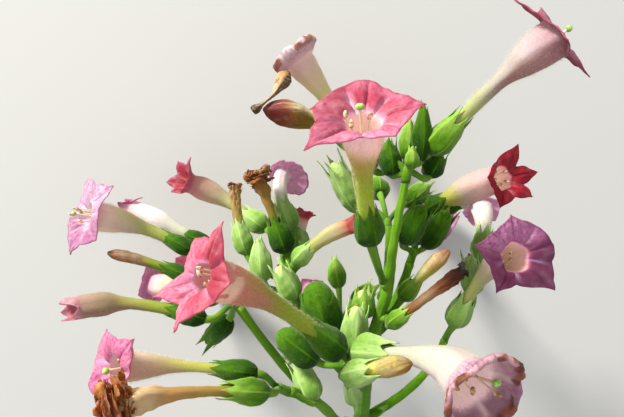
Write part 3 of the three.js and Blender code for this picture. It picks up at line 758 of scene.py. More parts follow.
def sproutHairs(cover, grid, normals, seed):
    group, perSquare, length = hairCovers[cover]
    draw = np.random.default_rng(seed)
    around = np.roll(grid, -1, axis=1) - grid
    along = np.gradient(grid, axis=0)
    areas = np.linalg.norm(np.cross(around, along), axis=2)
    count = int(areas.sum() * perSquare)
    if not count:
        return
    shares = np.cumsum(areas.ravel()) / areas.sum()
    picks = np.minimum(np.searchsorted(shares, draw.random(count)), areas.size - 1)
    spots = grid.reshape(-1, 3)[picks]
    spots = spots + around.reshape(-1, 3)[picks] * draw.random((count, 1))
    spots = spots + along.reshape(-1, 3)[picks] * (draw.random((count, 1)) - 0.5)
    ways = normals.reshape(-1, 3)[picks] + draw.normal(size=(count, 3)) * hairLook["lean"]
    ways /= np.linalg.norm(ways, axis=1)[:, None]
    lengths = draw.uniform(length * 0.5, length * 1.2, (count, 1))
    aside = np.cross(ways, draw.normal(size=(count, 3)))
    aside /= np.linalg.norm(aside, axis=1)[:, None]
    other = np.cross(ways, aside)
    keep = spots[:, 2] > hairLook["floor"]
    spots, ways, lengths, aside, other = (rows[keep] for rows in (spots, ways, lengths, aside, other))
    count = len(spots)
    feet = spots - ways * hairLook["sink"]
    corners = [
        feet + hairLook["radius"] * (aside * np.cos(turn) + other * np.sin(turn))
        for turn in (0, fullTurn / 3, 2 * fullTurn / 3)
    ]
    points = np.stack([*corners, spots + ways * lengths], axis=1)
    first = hairs[group].addPoints(points)
    base = first + np.arange(count)[:, None] * 4
    faces = [base + np.array(face) for face in ((0, 1, 3), (1, 2, 3), (2, 0, 3), (2, 1, 0))]
    hairs[group].addTriangles(np.concatenate(faces), 0)


# Corollas. Of each pair of counts the second is for the blooms with fine.
corollaSizes = {
    "lobes": 5, "tubeRadius": 2.3, "counterBend": 0.6, "limbThickness": 0.3, "tubeThickness": 0.45,
    "cusp": 0.025, "bow": 0.04, "columnsPerLobe": (18, 28), "tubeRows": (26, 32), "limbRows": (17, 28),
    "wide": [(0.08, 0.85), (0.3, 0.98), (0.5, 1.08), (0.62, 1.5), (0.75, 2.15), (0.88, 2.45), (1, 2.35)],
    "dryFold": [(0, 0, 0), (0.3, 0.5, 0.42), (0.6, 1, 0.8), (0.8, 0.9, 1.04), (1, 0.6, 0.9)],
}
limbRelief = {
    "wave": 0.035, "waves": (3, 4, 7, 11), "pleat": 0.10, "pleats": 19,
    "rib": 0.05, "ribWidth": 0.14, "crease": 0.10, "creaseWidth": 0.15,
}
# base, throat and face give a bloom's axis in mm and the way its mouth looks. wide holds the tube's radius
# along it, in shares of tubeRadius, and rim the lobe tips and the notches after them. fold leads a limb out
# and back: the share of the way, how far out and how high.
openFlowers = {
    "bloom_center": {
        "fine": 1, "base": [19, -11.5, 113], "throat": [13.9, 22.6, 139], "face": [-0.02, 0.73, 0.68],
        "tone": "rose",
        "wide": [(0.08, 0.98), (0.3, 1.14), (0.5, 1.12), (0.6, 1.2), (0.7, 1.55), (0.86, 2.38), (1, 2.3)],
        "rim": [
            (-146, 13.0, 4.0, 0.06), (-123, 11.0, 3.1), (-76, 17.6, 4.0, -0.02), (-37, 14.8, 3.1),
            (-8, 17.9, 4.0, 0.01), (19, 16.0, 3.1), (73, 15.3, 3.1, -0.01), (103, 13.1, 3.0),
            (134, 21.7, 3.2, 0), (173, 9.2, 2.0),
        ],
        "style": (1.2, 0.3, 5.4),
        "anthers": [
            (4.9, -0.4, 3.4), (-1.6, -0.6, 3.0), (3.2, 1.2, -0.5), (1.6, -2.4, -2.5), (-3.0, 1.5, -3.5),
        ],
    },
    "bloom_front": {
        "fine": 1, "base": [9.5, -45, 121], "throat": [-28, -17.8, 145], "face": [-0.62, 0.2, 0.74],
        "tone": "coral",
        "wide": [
            (0.08, 1.05), (0.28, 1.12), (0.43, 1.05), (0.57, 1.28), (0.71, 1.9), (0.82, 2.3), (0.92, 2.3),
            (1, 1.75),
        ],
        "rim": [
            (-92, 13.2, 2.6, 0.05), (-60, 9.4, 0.8), (-27, 16.2, 2.8, 0), (3, 10.2, -0.6),
            (38, 12.9, -1.0, 0.05), (84, 8.2, 0.0), (113, 18.8, 3.0, -0.03), (148, 8.8, 2.6),
            (177, 14.2, 6.0, -0.02), (238, 10.8, 3.8),
        ],
        "style": None,
        "anthers": [
            (-0.8, 2.2, 2.2), (0.6, 1.0, 1.0), (-1.4, -0.6, -1.5), (1.4, -2.0, -2.5), (-2.4, 0.8, -3.5),
        ],
    },
    "bloom_upper_right": {
        "base": [40.2, 19, 103], "throat": [75, 52.5, 120], "face": [0.8, 0.53, 0.25], "tone": "blush",
        "wide": [
            (0.08, 0.95), (0.3, 0.98), (0.5, 1.05), (0.62, 1.08), (0.7, 1.45), (0.78, 2.05), (0.88, 2.5),
            (1, 2.7),
        ],
        "rim": [
            (-100, 12.0, 3.0), (-68, 8.6, 3.0), (-33, 15.2, 5.0), (-8, 9.0, -0.2), (20, 17.2, -4.3),
            (66, 9.0, -1.4), (110, 14.5, -1.6), (149, 8.0, -1.0), (184, 15.9, 1.8), (223, 9.0, 1.0),
        ],
        "style": (0.6, 0.0, 4.6),
    },
    "bloom_left": {
        "fine": 1, "base": [-46, -17, 81], "throat": [-84.2, -3, 85], "face": [-0.88, 0.08, 0.47],
        "tone": "lilac",
        "wide": [(0.08, 0.85), (0.3, 0.95), (0.5, 1.1), (0.64, 1.6), (0.8, 2.2), (1, 2.4)],
        "rim": [
            (-130, 13.6, -1.8), (-80, 11.0, -1.6), (-30, 14.0, -6.2), (-4, 12.4, -0.8),
            (24, 16.2, 2.0, 0.1), (62, 11.6, 3.4), (102, 11.0, 7.4, 0.06), (130, 11.6, 6.8),
            (160, 16.4, 6.2), (193, 11.0, 3.2),
        ],
        "style": (0.5, 0.5, 6.0),
        "anthers": [
            (1.0, 2.6, 5.4), (0.5, 0.2, 6.6), (2.5, 1.0, 4.0), (-2.0, 2.0, 4.5), (-2.0, -2.0, 3.5),
        ],
    },
    "bloom_left_back": {
        "base": [-42, -40, 54], "throat": [-76, -37.5, 32], "face": [-0.8, 0, -0.5], "tone": "lilac",
        "limb": 11,
    },
    "bloom_left_top": {
        "base": [-20, -9, 58], "throat": [-54.5, 11, 50], "face": [-0.82, 0.3, 0.42], "tone": "redPink",
        "wide": [
            (0.08, 0.9), (0.3, 1.0), (0.5, 1.15), (0.62, 1.6), (0.76, 2.15), (0.88, 2.25), (1, 1.85),
        ],
        "rim": [
            (-120, 7.5, 4.0), (-70, 5.8, 3.4), (-22, 11.7, 5.0), (7, 7.6, 5.0), (36, 10.9, 8.0),
            (66, 6.8, 6.2), (100, 10.5, 9.4), (126, 6.4, 5.6), (150, 7.2, 7.0), (192, 5.6, 3.5),
        ],
    },
    "bloom_drooping": {
        "base": [-8.5, -9, 70], "throat": [-12.5, 14, 65], "face": [0.3, 0.6, -0.74], "tone": "violet",
        "wide": [(0.08, 0.9), (0.3, 1.1), (0.6, 1.2), (0.85, 1.3), (1, 1.55)],
        "rim": [
            (-90, 5.6, -1.0), (-45, 5.6, -0.6), (5, 7.2, -1.0, 0.1), (28, 8.2, -0.8),
            (56, 10.6, -1.0, 0.14), (76, 11.0, -0.8), (100, 11.8, -1.0, 0.12), (125, 11.6, -1.0),
            (150, 11.0, -1.2, 0.14), (200, 6.5, -0.8),
        ],
    },
    "bloom_lower_left": {
        "base": [-17, -52, 117], "throat": [-58, -47.4, 126], "face": [-0.62, 0.12, 0.77],
        "tone": "hotPink",
        "wide": [
            (0.08, 0.75), (0.35, 0.66), (0.46, 0.7), (0.6, 0.96), (0.74, 1.5), (0.84, 1.8), (0.94, 1.85),
            (1, 1.6),
        ],
        "rim": [
            (-126, 8.4, 3.6), (-88, 8.6, 1.0), (-45, 15.0, 2.0), (-10, 8.4, 1.6), (24, 11.9, 2.0),
            (76, 9.6, 1.0), (122, 13.8, 2.0), (149, 10.4, 2.4), (177, 12.6, 4.0), (206, 7.6, 3.0),
        ],
        "style": (0.5, -0.5, 3.0),
    },
    "bloom_right": {
        "fine": 1, "base": [39.5, -3, 82], "throat": [71, 11.4, 88], "face": [0.5, 0.15, 0.85],
        "tone": "scarlet",
        "wide": [(0.08, 0.85), (0.3, 1.0), (0.4, 1.4), (0.48, 2.0), (0.58, 2.35), (0.8, 2.45), (1, 2.15)],
        "rim": [
            (-133, 12.0, 6.0), (-109, 8.8, 3.0), (-83, 15.3, 5.0), (-57, 8.0, 2.0), (-29, 14.5, 4.0),
            (30, 6.9, 1.0), (92, 9.6, 1.6), (125, 7.6, 0.4), (167, 11.6, 0.4), (197, 8.2, 3.0),
        ],
        "style": None,
    },
    "bloom_white_tube": {
        "base": [71, -22, 66], "throat": [74, 0, 58], "face": [0.1, 0.45, -0.89], "tone": "violet",
        "wide": [(0.08, 0.9), (0.3, 1.1), (0.55, 1.3), (0.8, 1.75), (1, 1.9)],
        "rim": [
            (-60, 8.6, -1.2), (0, 5.6, -0.4), (60, 9.0, -1.2), (95, 7.2, -1.0), (130, 8.5, -1.0),
            (165, 6.8, -1.0), (200, 8.5, -1.0), (230, 7.0, -1.0), (262, 8.4, -1.4), (281, 6.6, -1.0),
        ],
    },
    "bloom_purple": {
        "fine": 1, "base": [56, -47, 76], "throat": [70, -17, 102], "face": [0.22, 0.1, 0.97],
        "tone": "plum",
        "rim": [
            (-133, 16.8, 4.0, 0), (-97, 12.8, 2.8), (-72, 13.6, 4.0, 0.06), (-32, 13.0, 3.2),
            (12, 15.0, 4.0, -0.02), (42, 12.6, 3.0), (76, 18.4, 4.0, -0.04), (103, 11.8, 2.7),
            (140, 15.2, 3.2, -0.02), (172, 9.2, 2.2),
        ],
        "style": None,
        "anthers": [
            (-1.0, 1.5, -3.0), (2.0, -1.0, -5.0), (0.5, -2.5, -5.0), (-2.5, -0.5, -6.0), (1.5, 2.0, -6.0),
        ],
    },
    "bloom_back_left": {
        "base": [-4, -44, 48], "throat": [-60, -34, 13], "face": [-0.75, 0.1, -0.65], "tone": "rose",
        "limb": 15,
    },
    "bloom_back_mid": {
        "base": [8, -44, 42], "throat": [0, -46, 6.2], "face": [-0.2, 0.2, -0.95], "tone": "lilac",
        "limb": 9.5, "rise": 1.2,
    },
    "bloom_back_right": {
        "base": [44, -12, 62], "throat": [66, -6, 8.7], "face": [0.5, 0.1, -0.86], "tone": "lilac",
        "limb": 13, "rise": 1.4,
    },
    "bloom_back_top": {
        "base": [29, 6, 64], "throat": [27, 42, 11.9], "face": [0, 0.75, -0.66], "tone": "coral",
        "limb": 15,
    },
}
foldingFlowers = {
    "bloom_wilting_top": {
        "base": [22, 14, 96], "throat": [-4, 50, 104], "face": [-0.62, 0.75, 0.1],
        "tone": "mauveScorched",
        "wide": [(0.08, 0.8), (0.3, 1.0), (0.6, 1.05), (0.7, 1.2), (0.85, 1.75), (1, 2.3)], "limb": 8.8,
        "rise": 5.9, "notch": 1.0, "crumple": 0.14,
        "fold": [
            (0, 0, 0), (0.3, 0.62, 0.28), (0.55, 1, 0.58), (0.75, 0.86, 0.92), (0.9, 0.42, 1.0),
            (1, 0.16, 0.8),
        ],
    },
    "bloom_left_opening": {
        "base": [-42, -15, 70], "throat": [-76, -1.5, 67], "face": [-0.9, 0.4, 0.1], "tone": "pinkWhite",
        "wide": [(0.08, 0.95), (0.3, 1.15), (0.46, 1.6), (0.6, 2.25), (0.8, 2.45), (0.92, 2.3), (1, 2.1)],
        "rim": [
            (-165, 5.6, 3.0), (-125, 4.7, 1.2), (-68, 6.2, 5.2), (-38, 4.9, 0.8), (-8, 7.6, -2.4),
            (18, 5.0, 0.8), (52, 6.2, 5.6), (90, 4.9, 1.5), (128, 5.6, 4.0), (162, 4.9, 1.5),
        ],
    },
    "bloom_lower_right": {
        "fine": 1, "base": [13, -45, 119], "throat": [39.6, -43.8, 146], "face": [0.38, -0.34, 0.86],
        "tone": "paleMauveScorched",
        "wide": [(0.08, 0.95), (0.3, 0.98), (0.5, 1.15), (0.66, 1.7), (0.84, 2.4), (1, 3.0)], "bend": 0.3,
        "limb": 12.2, "rise": 7.4, "notch": 0.97, "crumple": 0.2,
        "fold": [
            (0, 0, 0), (0.3, 0.4, 0.42), (0.6, 0.72, 0.86), (0.8, 0.92, 1.04), (0.92, 1.02, 0.98),
            (1, 1.05, 0.86),
        ],
        "style": (-2.0, 4.2, 7.0),
        "anthers": [
            (-3.4, 0.6, 7.0), (2.0, 2.0, 1.0), (3.0, -2.0, 0.0), (-2.0, -3.0, 1.0), (0.5, 3.0, 2.0),
        ],
    },
    "bloom_left_closing": {
        "base": [-36.2, -38, 104], "throat": [-76.8, -32.8, 107.2], "face": [-0.94, -0.14, 0.3],
        "swell": 4.8, "tone": "closing",
        "wide": [
            (0.08, 0.8), (0.5, 0.86), (0.66, 0.9), (0.73, 1.12), (0.81, 1.62), (0.9, 1.76), (1, 1.66),
        ],
        "rim": [
            (-30, 3.0, 6.6), (8, 3.8, 5.0), (42, 2.8, 7.6), (78, 3.7, 5.4), (114, 2.9, 7.6),
            (150, 3.9, 5.0), (186, 3.4, 7.0), (212, 4.1, 2.2), (236, 4.4, 3.2), (278, 4.4, 0.2),
        ],
    },
    "bud_cream_curved": {
        "base": [-6.6, -20.5, 92], "throat": [12.6, -6.8, 94.6], "face": [0.95, 0.3, 0.1], "swell": 3.0,
        "tone": "curvedBud", "limb": 4.6, "rise": 4.2, "notch": 0.7,
    },
    "bud_small_red": {
        "base": [-4, -19, 70], "throat": [-4, -4.6, 63.8], "face": [0.3, 0.9, -0.2], "swell": 2.6,
        "tone": "redSmall", "limb": 5.6, "rise": 3.2, "notch": 0.7,
    },
}
closedFlowers = {
    "bud_red_tip": {
        "base": [19, 21, 105], "throat": [-16.3, 32.7, 110], "face": [-1, 0.1, 0.1], "swell": 4.6,
        "tone": "redBud",
    },
    "bud_brown_tip": {
        "base": [-43, -27, 88], "throat": [-75.7, -16.6, 90], "face": [-1, 0.15, 0], "swell": 2.2,
        "tone": "tanBud",
        "wide": [
            (0.08, 0.6), (0.3, 0.74), (0.55, 0.78), (0.75, 0.92), (0.9, 0.9), (0.97, 0.62), (1, 0.3),
        ],
    },
    "bud_yellow_brown": {
        "base": [10, -50, 126], "throat": [26.6, -41.2, 141], "face": [0.9, 0.25, 0.4], "swell": 3.0,
        "tone": "yellowBud",
    },
    "bud_cream_right": {
        "base": [31.5, -32, 99], "throat": [47.3, -14.6, 103], "face": [0.8, 0.6, 0], "swell": 3.0,
        "tone": "creamBud",
        "wide": [
            (0.08, 0.55), (0.3, 0.66), (0.52, 0.9), (0.72, 1.15), (0.88, 1.0), (0.97, 0.55), (1, 0.25),
        ],
    },
    "bud_white_right": {
        "base": [47, -2, 75], "throat": [64, 3, 76], "face": [1, 0.2, 0.1], "swell": 2.6,
        "tone": "whiteBud",
    },
}
dryFlowers = {
    "dry_bloom_top": {
        "base": [-9.8, -17.5, 80], "throat": [-20.6, 12, 80], "face": [-0.3, 0.9, 0], "swell": 5,
        "tone": "dried", "scraps": 22, "scrap": 0.6, "lift": [0, 3.0, 0],
        "wide": [(0.08, 0.62), (0.3, 0.68), (0.6, 0.74), (0.76, 0.95), (0.9, 1.3), (1, 1.3)],
    },
    "dry_bloom_side": {
        "base": [-25, -18, 82], "throat": [-30.5, 8.5, 78], "face": [0, 1, 0], "swell": 2.4,
        "tone": "driedTan", "scraps": 3, "wide": [(0.08, 0.7), (0.4, 0.8), (0.8, 0.9), (1, 0.95)],
    },
    "dry_bloom_left": {
        "base": [-13, -55.8, 123], "throat": [-51, -51.6, 145], "face": [-0.75, -0.1, 0.6], "swell": 5.2,
        "tone": "driedPale", "scraps": 26, "lift": [-0.5, 1.2, -0.5],
        "wide": [(0.08, 0.6), (0.3, 0.64), (0.55, 0.7), (0.7, 0.95), (0.84, 1.5), (1, 1.6)],
    },
    "dry_bloom_right": {
        "base": [26, -40, 105], "throat": [48.3, -20.2, 114], "face": [0.75, 0.6, 0.2], "swell": 1.9,
        "tone": "driedDark", "scraps": 0,
        "wide": [(0.08, 0.6), (0.3, 0.66), (0.6, 0.74), (0.8, 0.9), (0.92, 0.95), (1, 0.7)],
    },
}
flowers = {}
for form, table in (("open", openFlowers), ("folding", foldingFlowers),
                    ("closed", closedFlowers), ("dry", dryFlowers)):
    for name, flower in table.items():
        flowers[name] = {**flower, "form": form, "seed": 11 + 7 * len(flowers)}


# The axis leaves the calyx a little away from the way its mouth looks, then bends to it.
def corollaAxis(flower):
    base, throat = np.array(flower["base"], float), np.array(flower["throat"], float)
    face = unit(flower["face"])
    counter = flower.get("bend", corollaSizes["counterBend"])
    leave = unit(unit(throat - base) * (1 + counter) - face * counter)
    return bend(base, leave, throat, face), leave, face, upAcross(face)


def stationsOf(flower):
    swell = flower.get("swell")
    if swell and "wide" not in flower:
        slim = min(corollaSizes["tubeRadius"], swell * 0.7)
        ends = [(1, swell * 0.94)] if flower["form"] == "folding" else [(0.97, swell * 0.4), (1, 0.4)]
        return [(0.08, slim * 0.6), (0.3, slim), (0.52, slim * 1.1), (0.72, swell * 0.95),
                (0.88, swell * (0.98 if flower["form"] == "folding" else 0.85)), *ends]
    shape = flower.get("wide", corollaSizes["wide"])
    return [(share, corollaSizes["tubeRadius"] * times) for share, times in shape]


# The rim is a list of lobe tips and the notches after them: angle, reach, rise and how blunt a tip is.
def rimOf(flower):
    if "rim" in flower:
        return flower["rim"]
    draw = np.random.default_rng(flower["seed"])
    limb = flower.get("limb", flower.get("swell", 5) * 1.05)
    rise = flower.get("rise", 0.3 * (limb - 5.2))
    start = draw.uniform(0, 72)
    rim = []
    for index in range(corollaSizes["lobes"]):
        angle = start + 72 * index
        turn, reach = angle + draw.uniform(-5, 5), limb * draw.uniform(0.93, 1.03)
        rim.append((turn, reach, rise + draw.uniform(-0.8, 0.8)))
        notch = flower.get("notch", 0.76) * draw.uniform(0.95, 1.04)
        rim.append((angle + 36, limb * notch, rise * 0.85))
    return rim


# Every column: its angle, how far it is from a midrib (0) to a notch (1), and its place on the rim.
def lobeColumns(flower):
    rim = rimOf(flower)
    half = corollaSizes["columnsPerLobe"][flower.get("fine", 0)] // 2
    columns = []
    for index in range(0, len(rim), 2):
        tip, notch, nextTip = rim[index], rim[index + 1], rim[(index + 2) % len(rim)]
        ends = [tip[0], notch[0], nextTip[0] + (360 if nextTip[0] < notch[0] else 0)]
        for lobe, low, high, flip in ((tip, ends[0], ends[1], False), (nextTip, ends[1], ends[2], True)):
            bow = lobe[3] if len(lobe) > 3 else corollaSizes["bow"]
            turns = np.radians([high if flip else low, low if flip else high])
            top, foot = (reach * np.array([np.cos(turn), np.sin(turn)])
                         for reach, turn in zip((lobe[1], notch[1]), turns))
            edge = top - foot
            away = np.array([-edge[1], edge[0]]) * (-1 if np.cross(edge, foot) < 0 else 1)
            for step in range(half):
                share = step / half
                near = share if flip else 1 - share
                push = bow * np.sin(np.pi * near) + corollaSizes["cusp"] * np.sin(fullTurn * near)
                spot = foot + edge * near + away * push
                rise = notch[2] + (lobe[2] - notch[2]) * near
                columns.append((np.radians(low + (high - low) * share), 1 - near, *spot, rise))
    return np.array(columns).T


# How far a limb has gone out to its rim, and how high it is, for each share of the way.
def limbProfile(flower, shares, rise):
    s = shares[:, None]
    fold = flower.get("fold")
    if flower["form"] == "dry":
        fold = corollaSizes["dryFold"]
    if fold:
        knots = np.array(fold)
        outward = smoothThrough(knots[:, :2], shares)[:, None]
        upward = smoothThrough(knots[:, ::2], shares)[:, None]
        return outward, rise * upward
    lift = (0.4 if flower.get("swell") else 1.6) + 0.5 * rise
    return 0.24 * s * (1 - s) + s ** 2, lift * 2 * s * (1 - s) + rise * s ** 2


def corollaGrid(flower):
    points, _, face, across = corollaAxis(flower)
    angles, fromRib, rimLevel, rimOver, rise = lobeColumns(flower)
    stations = stationsOf(flower)
    fine = flower.get("fine", 0)
    tubeShares = np.linspace(stations[0][0], 1, corollaSizes["tubeRows"][fine])
    radii = smoothThrough(stations, tubeShares)
    growing = np.clip((tubeShares - 0.45) / 0.55, 0, 1)[:, None]
    ribs = 1 + (0.012 + 0.035 * growing) * np.cos(np.pi * fromRib)[None]
    places, ways = onBend(points, tubeShares)
    tube = ringsOn(places, ways, across, radii[:, None] * ribs, angles)
    limbShares = np.linspace(0, 1, corollaSizes["limbRows"][fine] + 1)[1:]
    throatRadius = radii[-1] * ribs[-1]
    outward, height = limbProfile(flower, limbShares, rise)
    s = limbShares[:, None]
    draw = np.random.default_rng(flower["seed"] + 1)
    look = limbRelief
    wave = sum(
        np.sin(turns * angles + draw.uniform(0, fullTurn)) / turns ** 0.5 for turns in look["waves"]
    )
    span = np.max(np.hypot(rimLevel, rimOver)) - throatRadius.mean()
    height = height + look["wave"] * span * s ** 2 * wave * (1.25 - s if "rim" in flower else 1)
    pleats = np.sin(look["pleats"] * angles + 2 * np.sin(5 * s) + draw.uniform(0, fullTurn))
    height = height + look["pleat"] * s * pleats
    nearRib = np.exp(-(fromRib / look["ribWidth"]) ** 2)
    height = height - look["rib"] * span * np.sin(np.pi * s * 0.8) * nearRib
    nearNotch = np.exp(-((1 - fromRib) / look["creaseWidth"]) ** 2)
    height = height - look["crease"] * span * np.sin(np.pi * s) ** 0.7 * nearNotch
    over = unit(np.cross(face, across))
    level = np.cross(over, face)
    start = throatRadius * np.cos(angles), throatRadius * np.sin(angles)
    limb = places[-1] + level * (start[0] + (rimLevel - start[0]) * outward)[..., None]
    limb = limb + over * (start[1] + (rimOver - start[1]) * outward)[..., None] + face * height[..., None]
    grid = np.concatenate([tube, limb])
    along = np.concatenate([(tubeShares - 0.08) / 0.92 * 0.5, 0.5 + 0.5 * limbShares])
    return grid, along, angles, fromRib


# A grid of vectors from three parts, each a number, a row or a column.
def rowsFrom(shape, *parts):
    return np.stack([np.broadcast_to(part, shape) for part in parts], axis=2)


# Out along the front and home along the back.
def shell(front, back):
    return np.concatenate([front, back[::-1]])


# A petal sheet with its inside: the second part of place is below 0.3 outside, how much the outside faces
# the main light for the painted shade on the side away from it, and 1 inside.
def sheetInto(body, grid, along, angles, fromRib, thickness):
    normals = normalsOf(grid)
    inner = grid - normals * thickness[:, None, None]
    upper = 0.3 * np.clip(0.5 + 0.7 * (normals @ sunward), 0, 1)
    shape = upper.shape
    outside, inside = (rowsFrom(shape, along[:, None], side, fromRib) for side in (upper, 1.0))
    streak = rowsFrom(shape, np.cos(angles), np.sin(angles), (along * 1.2)[:, None])
    body.addGrid(shell(grid, inner), 0, shell(outside, inside), shell(streak, streak), ringShut=True)
    return normals


def openCorolla(name, flower):
    body = Body()
    grid, along, angles, fromRib = corollaGrid(flower)
    crumple = flower.get("crumple", 0.0)
    onTube = np.clip(along / 0.4, 0, 1)[:, None]
    onLimb = np.clip((along - 0.5) / 0.5, 0, 1)[:, None]
    waves = [  # height and size in mm, the step from the bloom's seed, and where the wave is
        (0.10, 5.0, 0, onTube), (0.25, 7.0, 2, onLimb), (0.10, 2.8, 5, onLimb),
        (crumple, 4.0, 3, np.clip(onLimb * 2, 0, 1)),
        (crumple * 0.5, 2.2, 4, np.clip(onLimb * 2 - 0.6, 0, 1)),
    ]
    push = sum(
        height * ripple(grid, size, flower["seed"] + step) * where for height, size, step, where in waves
    )
    grid = grid + normalsOf(grid) * push[..., None]
    thick, thin = corollaSizes["tubeThickness"], corollaSizes["limbThickness"]
    thickness = np.interp(along, [0, 0.5, 1], [thick, thick, thin])
    normals = sheetInto(body, grid, along, angles, fromRib, thickness)
    below = along < 0.56
    cover = "nearTube" if name in hairLook["near"] else "tube"
    sproutHairs(cover, grid[below], normals[below], flower["seed"])
    makePiece(name, body, [petals[flower["tone"]]], [name])


# A closed corolla: five twisted folds that meet in a tip.
budSizes = {"columns": 50, "rows": 56, "twist": 1.3, "fold": 0.06, "tipFold": 0.3}


def closedCorolla(name, flower):
    points, _, _, across = corollaAxis(flower)
    angles = np.arange(budSizes["columns"]) * fullTurn / budSizes["columns"]
    stations = stationsOf(flower)
    shares = 1 - (1 - np.linspace(0, 1, budSizes["rows"])) ** 1.25
    shares = stations[0][0] + (1 - stations[0][0]) * shares
    radii = smoothThrough(stations, shares)
    places, ways = onBend(points, shares)
    turn = angles[None] + budSizes["twist"] * shares[:, None] ** 2
    swollen = np.clip((shares - 0.5) / 0.3, 0, 1)[:, None]
    near = np.clip((shares - 0.85) / 0.15, 0, 1)[:, None]
    folds = budSizes["fold"] * swollen + budSizes["tipFold"] * near
    pleat = 1 - folds * (1 - np.abs(np.sin(2.5 * turn)) ** 0.7)
    grid = ringsOn(places, ways, across, radii[:, None] * pleat, angles)
    normals = normalsOf(grid)
    grid = grid + normals * (0.12 * ripple(grid, 5.0, flower["seed"]) * swollen)[..., None]
    along = (shares - stations[0][0]) / (1 - stations[0][0])
    fromRib = 1 - np.abs(np.sin(2.5 * turn))
    # how much each point faces the main light; it picks the inner ramp, so a bud's inner ramp is painted
    # light on its lit side
    upper = np.clip(0.34 + 0.55 * (normals @ sunward), 0, 1)
    place = rowsFrom(turn.shape, along[:, None], upper, fromRib)
    streak = rowsFrom(turn.shape, np.cos(turn), np.sin(turn), along[:, None] * 1.2)
    body = Body()
    body.addGrid(grid, 0, place, streak)
    if flower["tone"] != "redBud":
        sproutHairs("closedBud", grid, normals, flower["seed"])
    makePiece(name, body, [petals[flower["tone"]]], [name])


# A dried corolla: a shrunken tube, a crumpled mouth and curled scraps of petal.
dryLook = {"crumple": 1.0, "fine": 0.45, "scrapLength": 1.35, "scrapWidth": 0.95}


def dryCorolla(name, flower):
    grid, along, angles, fromRib = corollaGrid({**flower, "notch": 0.8, "limb": flower["swell"] * 1.15,
                                                "rise": flower["swell"] * 0.55})
    seed, swell = flower["seed"], flower["swell"]
    normals = normalsOf(grid)
    dryness = np.clip((along - 0.3) / 0.2, 0, 1)[:, None]
    push = dryLook["crumple"] * 0.2 * swell * ripple(grid, swell * 1.1, seed) * dryness
    push = push + dryLook["fine"] * ripple(grid, swell * 0.45, seed + 1) * dryness
    push = push + 0.12 * ripple(grid, 1.8, seed + 2)
    grid = grid + normals * push[..., None]
    body = Body()
    sheetInto(body, grid, along, angles, fromRib, np.full(len(along), 0.3))
    points, _, face, across = corollaAxis(flower)
    over = unit(np.cross(face, across))
    draw = np.random.default_rng(seed + 5)
    for index in range(flower["scraps"]):
        turn = index * 2.4 + draw.uniform(-0.5, 0.5)
        out = across * np.cos(turn) + over * np.sin(turn)
        side = np.cross(face, out)
        size = swell * flower.get("scrap", 1.0)
        long = size * dryLook["scrapLength"] * draw.uniform(0.6, 1.25)
        wide = size * dryLook["scrapWidth"] * draw.uniform(0.6, 1.2)
        u = np.linspace(0, 1, 16)[:, None]
        v = np.linspace(-1, 1, 13)[None]
        curl = draw.uniform(0.9, 3.4)
        tall, lean = np.sin(curl * u) / curl * long, (1 - np.cos(curl * u)) / curl * long
        ragged = 1 + 0.3 * np.sin(9 * u + index) + 0.2 * np.sin(17 * u + 2 * index)
        width = wide * np.sin(np.pi * (0.14 + 0.72 * u)) * ragged * v
        cup = draw.uniform(0.1, 0.5) * wide * (v ** 2 - 0.4) * np.sin(4 * u + index)
        start = points[3] + out * swell * draw.uniform(0.15, 0.8) - face * swell * draw.uniform(0.0, 1.1)
        start = start + np.array(flower.get("lift", [0, 0, 0])) * draw.uniform(0.2, 1.0)
        way = draw.choice([-1, 1, 1])
        sheet = start + face * tall[..., None] + out * (way * lean + cup)[..., None]
        sheet = sheet + side * width[..., None]
        crinkle = 0.5 * ripple(sheet, 2.8, seed + index) + 0.3 * ripple(sheet, 1.1, seed)
        sheet = sheet + crinkle[..., None] * out
        thick = unit(out + face * 0.3) * 0.16
        loop = np.concatenate([sheet, (sheet + thick)[:, ::-1]], axis=1)
        place = np.zeros(loop.shape)
        place[..., 0] = draw.choice([0.5, 0.62, 0.7, 0.78, 0.85, 0.95])
        body.addGrid(loop, 0, place, loop * 0.2)
    makePiece(name, body, [petals[flower["tone"]]], [name])


corollaMakers = {"open": openCorolla, "folding": openCorolla, "closed": closedCorolla, "dry": dryCorolla}
for name, flower in flowers.items():
    corollaMakers[flower["form"]](name, flower)
print("corollas made:", len(flowers))


# Stamens and styles. A bloom's style gives the stigma's place from the throat: aside, above and out of it.
threadLook = {
    "filament": 0.26, "style": 0.42, "anther": (0.72, 1.25), "stigma": (1.25, 0.95), "spread": 2.9,
    "sides": 7, "shortStyle": (0.4, 0.4, -3.0), "hiddenStyle": (0.4, 0.4, -9.0),
}


def ellipsoid(centre, axis, radius, half, rows=9, sides=12, groove=0.0):
    axis = unit(axis)
    across = upAcross(axis)
    turns = np.arange(sides) * fullTurn / sides
    rise = np.linspace(0.06, 0.94, rows) * np.pi
    places = np.asarray(centre, float) - axis * (np.cos(rise) * half)[:, None]
    dent = 1 - groove * np.abs(np.cos(turns)) ** 6
    radii = np.sin(rise)[:, None] * radius * dent
    return ringsOn(places, np.broadcast_to(axis, places.shape), across, radii, turns)


# A thread that follows the tube as far as low goes, and then runs straight to its end.
def threadInto(body, low, end, rows, across, radius, turns):
    path = np.concatenate([low, np.linspace(low[-1], end, rows)[1:]])
    way = np.gradient(path, axis=0)
    way /= np.linalg.norm(way, axis=1)[:, None]
    body.addGrid(ringsOn(path, way, across, radius, turns), 0)
    return way[-1]


